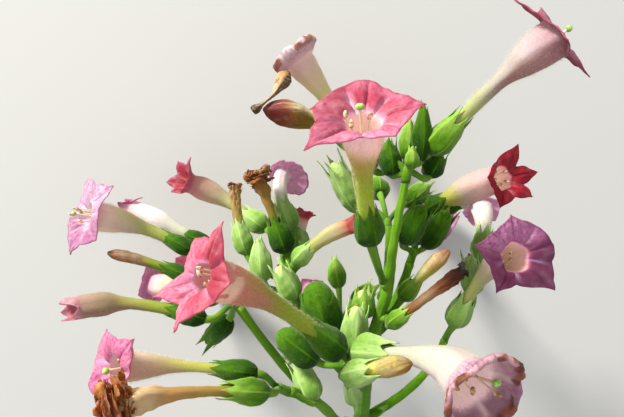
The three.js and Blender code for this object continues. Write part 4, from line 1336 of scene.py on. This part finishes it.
# Where the anthers stand when a bloom doesn't say: spread round the style by the bloom's seed.
def antherSpots(draw, start):
    spread = threadLook["spread"]
    spots = []
    for index in range(5):
        turn = start + index * fullTurn / 5
        aside = spread * draw.uniform(0.85, 1.15) * np.cos(turn)
        above = spread * draw.uniform(0.85, 1.15) * np.sin(turn)
        spots.append((aside, above, draw.uniform(-1.5, 1.5)))
    return spots


def makeThreads():
    body = Body()
    turns = np.arange(threadLook["sides"]) * fullTurn / threadLook["sides"]
    for name, flower in flowers.items():
        if flower["form"] != "open" and "style" not in flower:
            continue
        points, _, face, across = corollaAxis(flower)
        over = unit(np.cross(face, across))
        throat = points[3]
        draw = np.random.default_rng(flower["seed"] + 20)
        aside, above, rise = flower.get("style", threadLook["shortStyle"]) or threadLook["hiddenStyle"]
        low, _ = onBend(points, np.linspace(0.25, 0.9 if rise > -5 else 0.6, 12))
        end = throat + over * aside + across * above + face * rise
        way = threadInto(body, low, end, 7, across, threadLook["style"], turns)
        body.addGrid(ellipsoid(end, way, *threadLook["stigma"], 9, 16, 0.25), 2)
        start = draw.uniform(0, fullTurn)
        for aside, above, rise in flower.get("anthers") or antherSpots(draw, start):
            out = over * aside + across * above
            low, _ = onBend(points, np.linspace(0.42, 0.92, 10))
            low = low + out * np.linspace(0.5, 0.85, 10)[:, None]
            end = throat + out + face * rise
            way = threadInto(body, low, end, 6, across, threadLook["filament"], turns[:-1])
            tilt = unit(way + draw.normal(size=3) * 0.5)
            body.addGrid(ellipsoid(end, tilt, *threadLook["anther"], 8, 10, 0.35), 1)
    makePiece("stamens_and_styles", body, [filament, anther, stigma])


makeThreads()
print("stamens made")


# Calyces, pods and buds on their pedicels, one piece for each cluster.
cupSizes = {
    "length": 14.0, "radius": 4.9, "foot": 1.5, "wall": 0.42, "rows": 18, "columns": 50, "podColumns": 28,
    "rachis": [1.5, 1.62, 1.53, 1.575, 1.65, 1.35], "twigSides": 16,
    "pedicel": [(0, 1.35), (0.12, 1.02), (0.6, 1.05), (1, 1.5)],
}
# sinus and tip are where the teeth begin and end, in shares of the length, and profile the radius along it.
# inside is the pod or petal cone in the cup, and share how much of the whole length the cup has.
cupForms = {
    "cup": {
        "sinus": 0.84, "tip": 1.13, "point": 1.5, "share": 1,
        "profile": [
            (0, 0.31), (0.07, 0.62), (0.2, 0.9), (0.4, 1.0), (0.66, 0.88), (0.86, 0.71), (1.2, 0.64),
        ],
    },
    "pod": {
        "sinus": 0.82, "tip": 1.22, "point": 1.9, "share": 0.9,
        "profile": [
            (0, 0.31), (0.07, 0.66), (0.2, 0.93), (0.42, 1.02), (0.75, 0.9), (1.0, 0.78), (1.25, 0.84),
        ],
        "inside": [
            (0.06, 0.3), (0.2, 0.72), (0.45, 0.86), (0.75, 0.8), (0.95, 0.58), (1.04, 0.34), (1.09, 0.1),
        ],
    },
    "plump": {
        "sinus": 0.74, "tip": 1.0, "point": 1.3, "share": 0.88,
        "profile": [
            (0, 0.31), (0.07, 0.66), (0.2, 0.93), (0.42, 1.04), (0.7, 0.98), (0.9, 0.84), (1.1, 0.7),
        ],
        "inside": [
            (0.06, 0.3), (0.2, 0.84), (0.45, 0.96), (0.7, 0.94), (0.92, 0.8), (1.05, 0.52), (1.1, 0.3),
            (1.12, 0.1),
        ],
    },
    "bud": {
        "sinus": 1.1, "tip": 1.27, "point": 1.0, "share": 0.78,
        "profile": [
            (0, 0.31), (0.08, 0.62), (0.28, 0.93), (0.52, 1.0), (0.8, 0.82), (1.05, 0.5), (1.27, 0.14),
        ],
        "inside": [(0.1, 0.3), (0.5, 0.7), (0.85, 0.6), (1.08, 0.34), (1.2, 0.16), (1.25, 0.05)],
    },
}
# An organ is the cup of a flower, or a pod or bud of its own. at is where along the cluster's stalk it
# springs from. green is 0 for light, 1 for middle and 2 for deep.
clusters = {
    "cluster_top": {
        "foot": [31, 9, 109], "aim": [0.15, 0.9, 0.1], "reach": 5, "green": 1,
        "organs": [
            {"flower": "bloom_upper_right", "at": 0.6, "green": 1, "length": 15.5},
            {"flower": "bloom_wilting_top", "at": 0.8},
            {"flower": "bud_red_tip", "at": 0.5},
            {
                "kind": "bud", "base": [37, 16, 104], "tip": [37.6, 36, 107], "radius": 3.4, "at": 0.9,
                "green": 2,
            },
            {"kind": "bud", "base": [33, 17, 100], "tip": [34.5, 32, 99], "radius": 3.2, "at": 1},
            {
                "kind": "pod", "base": [27, 11, 106], "tip": [25.5, 23, 106], "radius": 3.6, "at": 0.4,
                "green": 2,
            },
            {"kind": "bud", "base": [32.5, 13, 111], "tip": [32.8, 20.5, 111], "radius": 2.4, "at": 0.7},
            {
                "kind": "pod", "base": [40.5, 11, 101], "tip": [45, 20, 99], "radius": 3.8, "at": 0.5,
                "green": 2,
            },
        ],
    },
    "cluster_center": {
        "foot": [26, -28, 102.5], "aim": [-0.5, 0.8, 0.6], "reach": 4, "green": 1,
        "organs": [
            {"flower": "bloom_center", "at": 1, "green": 2},
            {
                "kind": "pod", "base": [17, -1, 102], "tip": [6.6, 16, 106], "radius": 4.4, "at": 0.6,
                "green": 0,
            },
        ],
    },
    "cluster_left": {
        "foot": [-27, -36, 92], "aim": [-0.6, 0.7, 0], "reach": 8, "green": 2,
        "organs": [
            {"flower": "bloom_left", "radius": 3.4, "at": 1},
            {"flower": "bloom_left_opening", "radius": 3.5, "at": 0.8},
            {"flower": "bud_brown_tip", "radius": 3.2, "at": 0.7},
            {"flower": "bloom_left_closing", "radius": 3.7, "at": 0.1},
            {"flower": "bloom_left_back", "at": 0.3},
            {"kind": "pod", "base": [-33, -44, 76], "tip": [-44, -56, 68], "radius": 4.4, "at": 0.1},
        ],
    },
    "cluster_left_upper": {
        "foot": [-6, -36, 84], "aim": [-0.3, 0.9, 0.1], "reach": 10, "green": 0,
        "organs": [
            {"flower": "bloom_left_top", "at": 0.7},
            {"flower": "dry_bloom_top", "at": 0.9, "green": 2},
            {"flower": "dry_bloom_side", "at": 0.5},
            {"flower": "bloom_drooping", "at": 1},
            {"flower": "bud_small_red", "at": 0.8},
            {"flower": "bud_cream_curved", "radius": 3.6, "length": 9.5, "at": 0.9},
            {"kind": "bud", "base": [-18, -27, 91], "tip": [-20, -10.5, 90], "radius": 4.3, "at": 0.3},
            {"kind": "pod", "base": [-6, -32, 98], "tip": [-12, -20, 99], "radius": 4.2, "at": 0.2},
        ],
    },
    "cluster_lower_left": {
        "foot": [-8, -61, 108], "aim": [-0.6, 0.4, 0.4], "reach": 5, "green": 0,
        "organs": [
            {"flower": "bloom_lower_left", "radius": 3.7, "at": 0.9, "green": 2},
            {"flower": "dry_bloom_left", "radius": 3.9, "at": 0.6, "green": 1},
            {"kind": "pod", "base": [1, -66, 104], "tip": [-5, -54.5, 98], "radius": 4.4, "at": 0.1},
        ],
    },
    "cluster_front": {
        "foot": [12.5, -54, 106], "aim": [-0.1, 0.5, 0.8], "reach": 6, "green": 1,
        "organs": [
            {"flower": "bloom_front", "at": 1, "green": 2},
            {"flower": "bloom_lower_right", "radius": 6, "at": 1, "green": 0},
            {"flower": "bud_yellow_brown", "at": 0.9, "green": 0},
            {
                "kind": "plump", "base": [6, -47, 100], "tip": [0.4, -25, 102], "radius": 6.6, "at": 0.4,
                "green": 2,
            },
            {
                "kind": "pod", "base": [13.5, -47, 108], "tip": [15, -32, 109], "radius": 4.6, "at": 0.6,
                "green": 0,
            },
            {
                "kind": "plump", "base": [2, -52, 106], "tip": [-12, -42, 104], "radius": 5.0, "at": 0.3,
                "green": 2,
            },
            {
                "kind": "bud", "base": [14, -63, 112], "tip": [11, -54.5, 119], "radius": 2.8, "at": 0.2,
                "green": 0,
            },
            {"kind": "pod", "base": [18, -39, 98], "tip": [18.4, -28.5, 98], "radius": 4.2, "at": 0.5},
        ],
    },
    "cluster_right_mid": {
        "foot": [23.6, -39, 97.6], "aim": [0.5, 0.2, 0.6], "reach": 4, "green": 1,
        "organs": [
            {"flower": "dry_bloom_right", "radius": 3.0, "length": 9, "at": 1},
            {"flower": "bud_cream_right", "radius": 3.4, "length": 9, "at": 0.8},
        ],
    },
    "cluster_right": {
        "foot": [37.5, -21, 84], "aim": [0.3, 0.9, 0], "reach": 6, "green": 2,
        "organs": [
            {"flower": "bloom_right", "at": 1},
            {"flower": "bud_white_right", "at": 0.9},
            {"flower": "bloom_back_right", "at": 0.4},
            {"kind": "pod", "base": [33.5, -13, 90], "tip": [40, 1.5, 96], "radius": 4.8, "at": 0.6},
            {"kind": "pod", "base": [43, -15, 84], "tip": [51, -0.5, 89], "radius": 4.6, "at": 0.5},
        ],
    },
    "cluster_right_low": {
        "foot": [53, -58, 70], "aim": [0.3, 0.9, 0.2], "reach": 5, "green": 0,
        "organs": [
            {"flower": "bloom_purple", "at": 0.7},
            {"flower": "bloom_white_tube", "at": 0.9},
            {"kind": "pod", "base": [63, -34, 80], "tip": [61.5, -18, 80], "radius": 4.2, "at": 1},
        ],
    },
    "cluster_back": {
        "foot": [14, -54, 56], "aim": [-0.2, 0.9, -0.4], "reach": 6, "green": 1,
        "organs": [
            {"flower": "bloom_back_left", "at": 0.6},
            {"flower": "bloom_back_mid", "at": 1},
            {"kind": "pod", "base": [20, -44, 44], "tip": [30, -38, 33], "radius": 4.6, "at": 0.5},
            {"kind": "bud", "base": [12, -36, 52], "tip": [10, -22, 47], "radius": 4.2, "at": 1},
            {"kind": "pod", "base": [0, -60, 56], "tip": [-12, -68, 50], "radius": 4.4, "at": 0.2},
        ],
    },
    "cluster_back_top": {
        "foot": [30, -8, 80], "aim": [0, 0.6, -0.7], "reach": 5, "green": 1,
        "organs": [
            {"flower": "bloom_back_top", "at": 0.8},
            {"kind": "pod", "base": [39, 2, 68], "tip": [50, 10, 60], "radius": 4.4, "at": 0.6},
            {"kind": "bud", "base": [20, 4, 66], "tip": [9, 14, 58], "radius": 3.8, "at": 0.9},
        ],
    },
}
clusterFinishes = [greens[key] for key in ("cupLight", "cupMid", "cupDeep", "twig", "pod")]
clusterFinishes += [podTip, greens["podDeep"]]
twigFinish, podFinish, podTipFinish, podDeepFinish = 3, 4, 5, 6


# The place and streak of every point of a round stalk.
def stalkRows(shape, angles, streakLength):
    along = np.linspace(0.2, 0.8, shape[0])[:, None]
    place = rowsFrom(shape, along, 0.0, 0.5)
    return place, rowsFrom(shape, np.cos(angles), np.sin(angles), along * streakLength)


def twigInto(body, places, ways, radii, finish, seed):
    sides = cupSizes["twigSides"]
    across = upAcross(unit(ways[len(ways) // 2]))
    angles = np.arange(sides) * fullTurn / sides
    wavy = 1 + 0.05 * np.cos(3 * angles + seed)[None] * np.ones((len(places), 1))
    grid = ringsOn(places, ways, across, np.asarray(radii)[:, None] * wavy, angles)
    normals = normalsOf(grid)
    grid = grid + normals * (0.05 * ripple(grid, 3.0, seed))[..., None]
    body.addGrid(grid, finish, *stalkRows(grid.shape[:2], angles, 2))
    sproutHairs("twig", grid, normals, seed)


def cupInto(body, base, along, length, radius, kind, finish, seed):
    form = cupForms[kind]
    draw = np.random.default_rng(seed)
    columns = cupSizes["columns"]
    angles = np.arange(columns) * fullTurn / columns
    tooth = angles / fullTurn * 5 % 1
    fromRib = np.minimum(tooth, 1 - tooth) * 2
    each = draw.uniform(0.92, 1.08, 5)[np.round(angles / fullTurn * 5).astype(int) % 5]
    rim = form["sinus"] + (form["tip"] * each - form["sinus"]) * (1 - fromRib) ** form["point"]
    rows = np.linspace(0, 1, cupSizes["rows"])[:, None]
    share = rows * rim[None]
    girth = smoothThrough(form["profile"], share.ravel()).reshape(share.shape) * radius
    girth = np.maximum(girth, cupSizes["foot"] * 0.9)
    ridge = 0.045 * np.cos(np.pi * fromRib) + 0.015 * np.cos(2 * np.pi * fromRib)
    ease = np.clip(share / 0.2, 0, 1) * np.clip((1.15 - share) / 0.2, 0.2, 1)
    girth = girth * (1 + ridge[None] * ease)
    across = upAcross(along)
    over = unit(np.cross(along, across))
    out = across * np.cos(angles)[:, None] + over * np.sin(angles)[:, None]
    grid = base + along * (share * length)[..., None] + out[None] * girth[..., None]
    grid = grid + out[None] * (0.16 * ripple(grid, 4.0, seed))[..., None]
    if kind == "pod":
        flare = np.clip(share - 0.9, 0, 1) * (each[None] - 0.9) * length * 0.8
        grid = grid + out[None] * flare[..., None]
    normals = normalsOf(grid)
    thin = cupSizes["wall"] * (1 - 0.5 * rows[:, 0])
    inner = grid - normals * thin[:, None, None]
    place = rowsFrom(share.shape, share / 1.2, 0.0, fromRib)
    streak = rowsFrom(share.shape, np.cos(angles), np.sin(angles), share * 0.8)
    body.addGrid(shell(grid, inner), finish, shell(place, place), shell(streak, streak), ringShut=True)
    sproutHairs("cup", grid, normals, seed)


def podInto(body, base, along, length, radius, kind, finish):
    across = upAcross(along)
    angles = np.arange(cupSizes["podColumns"]) * fullTurn / cupSizes["podColumns"]
    pairs = cupForms[kind]["inside"]
    shares = np.linspace(pairs[0][0], pairs[-1][0], 22)
    radii = smoothThrough(pairs, shares) * radius
    seam = 1 - 0.06 * np.exp(-((np.abs(np.sin(angles))) / 0.16) ** 2)
    places = base + along * (shares * length)[:, None]
    grid = ringsOn(places, np.broadcast_to(along, places.shape), across, radii[:, None] * seam, angles)
    place = np.zeros(grid.shape)
    place[..., 0] = np.linspace(0.2, 1.0, len(shares))[:, None]
    place[..., 2] = 0.5
    body.addGrid(grid, finish, place)
    if kind != "bud":
        body.addGrid(ellipsoid(base + along * length * 1.1, along, 0.55, 0.7, 6, 10), podTipFinish)


def makeCluster(name, cluster, seed):
    body = Body()
    foot, aim = np.array(cluster["foot"], float), unit(cluster["aim"])
    ends = np.linspace(foot - aim * 0.5, foot + aim * cluster["reach"], 6)
    ways = np.broadcast_to(aim, ends.shape)
    twigInto(body, ends, ways, cupSizes["rachis"], twigFinish, seed)
    for index, organ in enumerate(cluster["organs"]):
        flower = flowers.get(organ.get("flower"))
        kind = organ.get("kind", "cup")
        base = np.array(flower["base"] if flower else organ["base"], float)
        if flower:
            along = corollaAxis(flower)[1]
            full = organ.get("length", cupSizes["length"])
        else:
            reach = np.array(organ["tip"], float) - base
            along = unit(reach)
            full = np.linalg.norm(reach)
        length = full * cupForms[kind]["share"]
        small = flower is not None and flower.get("swell", 9) < 4
        radius = organ.get("radius", cupSizes["radius"] * (0.8 if small else 1))
        root = foot + aim * cluster["reach"] * organ["at"]
        leave = unit(unit(base - root) + aim * 0.6)
        curve = bend(root, leave, base + along, along, 0.4)
        shares = np.linspace(0, 1, 16)
        places, ways = onBend(curve, shares)
        radii = np.interp(shares, *zip(*cupSizes["pedicel"]))
        mark = seed + 31 * (index + 1)
        twigInto(body, places, ways, radii, twigFinish, mark)
        green = organ.get("green", cluster["green"])
        cupInto(body, base, along, length, radius, kind, green, mark)
        if kind != "cup":
            podInto(body, base, along, length, radius, kind, podDeepFinish if green == 2 else podFinish)
    makePiece(name, body, clusterFinishes, [name])


for number, (name, cluster) in enumerate(clusters.items()):
    makeCluster(name, cluster, 500 + 300 * number)  # far enough apart that no two organs share a seed
print("clusters made:", len(clusters))


# Stem and branches.
stem = {
    "route": [[20, -192, -8], [20, -150, 21], [20.5, -110, 49], [21, -85, 66.5], [21, -65, 80.5],
              [22.5, -44, 95], [26, -28, 102.5], [27.5, -12, 106], [31, 9, 109]],
    "radii": [3.5, 3.1, 2.5, 1.75, 1.3], "rows": 150, "sides": 32, "cutRows": 12,
}
branches = {  # where each starts and ends, and the way it leaves and arrives
    "branch_left": ([20.4, -102, 54.6], [-27, -36, 92], [-0.5, 0.6, 0.5], [-0.5, 0.8, 0.2]),
    "branch_left_upper": ([21, -78, 71.4], [-6, -36, 84], [-0.5, 0.8, 0.1], [-0.3, 0.9, 0.1]),
    "branch_lower_left": ([20.5, -112, 47.6], [-8, -61, 108], [-0.3, 0.4, 0.8], [-0.6, 0.3, 0.5]),
    "branch_front": ([21, -70, 77], [12.5, -54, 106], [-0.4, 0.3, 0.9], [-0.1, 0.5, 0.8]),
    "branch_right": ([22.3, -46, 93.5], [37.5, -21, 84], [0.7, 0.6, -0.4], [0.3, 0.9, 0]),
    "branch_right_low": ([20.8, -90, 63], [53, -58, 70], [0.8, 0.5, 0.2], [0.4, 0.9, 0.1]),
    "branch_back": ([20.9, -88, 64.4], [14, -54, 56], [-0.3, 0.7, -0.4], [-0.2, 0.9, -0.4]),
    "branch_back_top": ([25, -31, 101], [30, -8, 80], [0.2, 0.4, -0.8], [0, 0.7, -0.7]),
}
branchSizes = {
    "foot": 2.0, "tip": 1.5, "rows": 48, "sides": 24,
    "flare": (0.5, 0.06), "tipFlare": (0.25, 0.05),  # mm, and the share of the length that it fades over
    "knot": (0.28, 4.5),  # how much the stem swells at a branch, and along how many mm
}


def fade(distance, look):
    return look[0] * np.exp(-(distance / look[1]) ** 2)


def stalkInto(body, places, ways, radii, sides, seed, flat=False):
    across = upAcross(unit(ways[len(ways) // 2]))
    angles = np.arange(sides) * fullTurn / sides
    ridges = 1 + 0.035 * np.cos(5 * angles + seed) + 0.02 * np.cos(9 * angles + 2 * seed)
    grid = ringsOn(places, ways, across, np.asarray(radii)[:, None] * ridges, angles)
    normals = normalsOf(grid)
    grid = grid + normals * (0.09 * ripple(grid, 6.0, seed) + 0.03 * ripple(grid, 1.5, seed + 1))[..., None]
    if flat:  # slides the first rows along the stem to the plane of the cut
        rows = stem["cutRows"]
        way = unit(ways[rows])
        cut = grid[rows] - way * (grid[rows][:, 2] / way[2])[:, None]
        for row in range(rows):
            grid[row] = cut + (grid[rows] - cut) * row / rows
        normals = normalsOf(grid)
    body.addGrid(grid, 0, *stalkRows(grid.shape[:2], angles, 3))
    sproutHairs("stalk", grid, normals, seed)


# A small narrow leaf at the foot of a branch.
bractSizes = {"length": 11.7, "width": 1.53, "thickness": 0.3, "row": 4, "aside": 1.6}


def bractInto(body, foot, way):
    way = unit(way)
    side = unit(np.cross(way, [0.1, 0.2, 1.0]))
    back = unit(np.cross(side, way))
    u = np.linspace(0, 1, 16)[:, None]
    v = np.linspace(-1, 1, 7)[None]
    width = bractSizes["width"] * np.sin(np.pi * (0.1 + 0.9 * u)) ** 0.8 * v
    rise = 0.5 * bractSizes["width"] * v ** 2 * (1 - u) + 0.18 * bractSizes["length"] * u ** 2
    middle = foot + way * (u * bractSizes["length"])[..., None]
    sheet = middle + side * width[..., None] + back * rise[..., None]
    loop = np.concatenate([sheet, (sheet + back * bractSizes["thickness"])[:, ::-1]], axis=1)
    place = np.zeros(loop.shape)
    place[..., 0] = 0.5 + 0.4 * u
    place[..., 2] = np.abs(np.concatenate([v, v[:, ::-1]], axis=1))
    body.addGrid(loop, 1, place, loop * 0.1)


def makeStem():
    body = Body()
    shares = np.linspace(0, 1, stem["rows"])
    places, ways = onRoute(stem["route"], shares)
    radii = np.interp(shares, np.linspace(0, 1, len(stem["radii"])), stem["radii"])
    firstRow = np.argmax(places[:, 2] > 0.5)  # the first ring above the floor
    rows = slice(max(firstRow - stem["cutRows"] + 4, 0), None)
    places, ways, radii = places[rows], ways[rows], radii[rows]
    for start, *_ in branches.values():
        radii = radii + fade(np.linalg.norm(places - np.array(start, float), axis=1), branchSizes["knot"])
    stalkInto(body, places, ways, radii, stem["sides"], 3, flat=True)
    makePiece("main_stem_green", body, [greens["stalk"], greens["cupMid"]], ["main_stem"])


def makeBranch(name, seed, start, end, lean, rise):
    body = Body()
    shares = np.linspace(0, 1, branchSizes["rows"])
    places, ways = onBend(bend(start, lean, end, rise), shares)
    radii = np.interp(shares, [0, 1], [branchSizes["foot"], branchSizes["tip"]])
    radii = radii + fade(shares, branchSizes["flare"]) + fade(1 - shares, branchSizes["tipFlare"])
    stalkInto(body, places, ways, radii, branchSizes["sides"], seed)
    row = bractSizes["row"]
    aside = unit(np.cross(ways[row], [0.3, 0.1, 1])) * bractSizes["aside"]
    bractInto(body, places[row] + aside, unit(lean) + np.array([0, 0.5, 0.2]))
    makePiece(name + "_green", body, [greens["stalk"], greens["cupMid"]], [name])


makeStem()
for number, (name, branch) in enumerate(branches.items()):
    makeBranch(name, 40 + number, *branch)
print("stem and branches made")


# The withered tube that hangs in the wilting bloom's mouth.
strand = {
    "route": [[-8.4, 45.6, 107.4], [-10.2, 41, 110.2], [-13.5, 36.2, 112], [-19.3, 31.8, 111.6]],
    "rows": 60, "columns": 28, "pleat": 0.10, "pleats": 5,
    "radii": [
        (0, 1.2), (0.12, 2.2), (0.28, 2.5), (0.44, 1.5), (0.58, 0.85), (0.86, 0.8), (0.95, 1.5), (1, 1.4),
    ],
}


def strandMaterial():
    g = Graph("withered_tube")
    along, shade = g.split(g.rows("place"), (0, 1))
    solid = g.node("ShaderNodeTexCoord", {}, out=3)
    cloud = g.noise(solid, 420.0, 3.0)
    speck = g.noise(solid, 1400.0, 2.0)
    # The ramp darkens to near black at the far end: partly the dry end's own dark colour, partly painted
    # shade in the hollow of the open ring.
    colour = g.ramp(along, ramp(
        (0, 140, 96, 54), (0.25, 176, 134, 84), (0.42, 186, 156, 112), (0.6, 172, 156, 126),
        (0.86, 146, 126, 96), (0.93, 70, 52, 36), (1, 24, 18, 14),
    ))
    # painted shade on the side of the husk away from the light
    colour = g.mix(shade.between(0.45, 0.7) * 0.85, colour, paint(72, 42, 20))
    colour = g.mix(cloud.between(0.54, 0.62) * 0.5, colour, paint(88, 54, 28))
    colour = g.mix(speck.between(0.5, 0.7) * 0.3, colour, paint(206, 186, 150))
    height = cloud * 0.5 + speck * 0.5
    bump = g.node("ShaderNodeBump", {}, {"Strength": 0.7, "Distance": 0.0003, "Height": height})
    skin = {"Base Color": colour, "Roughness": 0.8, "Normal": bump}
    return g.finish(g.node("ShaderNodeBsdfPrincipled", {}, skin))


def makeStrand():
    body = Body()
    shares = np.linspace(0, 1, strand["rows"])
    places, ways = onRoute(strand["route"], shares)
    radii = smoothThrough(strand["radii"], shares)
    angles = np.arange(strand["columns"]) * fullTurn / strand["columns"]
    across = upAcross(unit(ways[strand["rows"] // 2]))
    folds = strand["pleat"] * np.cos(strand["pleats"] * angles)
    pleats = 1 + folds[None] * np.clip(shares * 2, 0, 1)[:, None]
    grid = ringsOn(places, ways, across, radii[:, None] * pleats, angles)
    normals = normalsOf(grid)
    grid = grid + normals * (0.16 * ripple(grid, 3.0, 77) + 0.08 * ripple(grid, 1.3, 78))[..., None]
    # the far end is an open ring
    inward = [grid[-1] + (places[-1] - grid[-1]) * share - ways[-1] * depth
              for share, depth in ((0.35, -0.15), (0.5, 0.3), (0.6, 1.2), (0.9, 1.6))]
    grid = np.concatenate([grid, np.array(inward)])
    place = np.zeros(grid.shape)
    place[..., 0] = np.concatenate([shares, np.ones(4)])[:, None]
    # how much each point looks away from the light, for the painted shade
    place[..., 1] = np.clip(0.5 - 0.6 * (normalsOf(grid) @ unit([-0.6, 0.75, 0.25])), 0, 1)
    body.addGrid(grid, 0, place)
    makePiece("dry_strand_husk", body, [strandMaterial()], ["dry_strand"])


makeStrand()
for group, body in hairs.items():
    makePiece("down_" + group, body, [downHair[group]])
print("strand and down made")

# Floor, light and camera.
stage = {
    "floor": 8.0, "floorDrop": 0.0004, "floorColour": paint(190, 190, 187), "aim": (0.0, 0.03, 0.08),
    "sun": {"place": (-1.5, 1.75, 0.9), "size": 0.55, "power": 135.0, "colour": (1.0, 0.965, 0.90)},
    "fill": {"place": (0.25, -0.2, 1.2), "size": 1.2, "power": 4.6, "colour": (0.98, 0.985, 1.0)},
    "sky": (0.94, 0.96, 1.0), "skyStrength": 0.46,
    "camera": {"place": (0.0047, 0.0599, 0.270), "lens": 28.0, "sensor": 36.0, "nearest": 0.005},
}


def makeLight(name, look):
    light = bpy.data.lights.new(name, "AREA")
    light.shape = "DISK"
    light.size = look["size"]
    light.energy = look["power"]
    light.color = look["colour"]
    lamp = bpy.data.objects.new(name, light)
    bpy.context.scene.collection.objects.link(lamp)
    lamp.location = look["place"]
    aim = Vector(stage["aim"]) - Vector(look["place"])
    lamp.rotation_euler = aim.to_track_quat("-Z", "Y").to_euler()


def makeStage():
    half = stage["floor"] / 2
    mesh = bpy.data.meshes.new("floor")
    corners = [(-half, -half, 0), (half, -half, 0), (half, half, 0), (-half, half, 0)]
    mesh.from_pydata(corners, [], [(0, 1, 2, 3)])
    floor = bpy.data.objects.new("floor", mesh)
    bpy.context.scene.collection.objects.link(floor)
    floor.location.z = -stage["floorDrop"]
    g = Graph("floor_finish")
    skin = g.node("ShaderNodeBsdfPrincipled", {}, {"Base Color": stage["floorColour"], "Roughness": 0.9})
    mesh.materials.append(g.finish(skin))
    makeLight("sun_light", stage["sun"])
    makeLight("fill_light", stage["fill"])
    world = bpy.data.worlds.new("studio")
    world.use_nodes = True
    sky = world.node_tree.nodes["Background"]
    sky.inputs["Color"].default_value = (*stage["sky"], 1)
    sky.inputs["Strength"].default_value = stage["skyStrength"]
    bpy.context.scene.world = world
    lens = bpy.data.cameras.new("viewCamera")
    lens.lens = stage["camera"]["lens"]
    lens.sensor_width = stage["camera"]["sensor"]
    lens.clip_start = stage["camera"]["nearest"]
    camera = bpy.data.objects.new("viewCamera", lens)
    camera.location = stage["camera"]["place"]
    bpy.context.scene.collection.objects.link(camera)
    bpy.context.scene.camera = camera
    bpy.context.scene.view_settings.view_transform = "Standard"


makeStage()
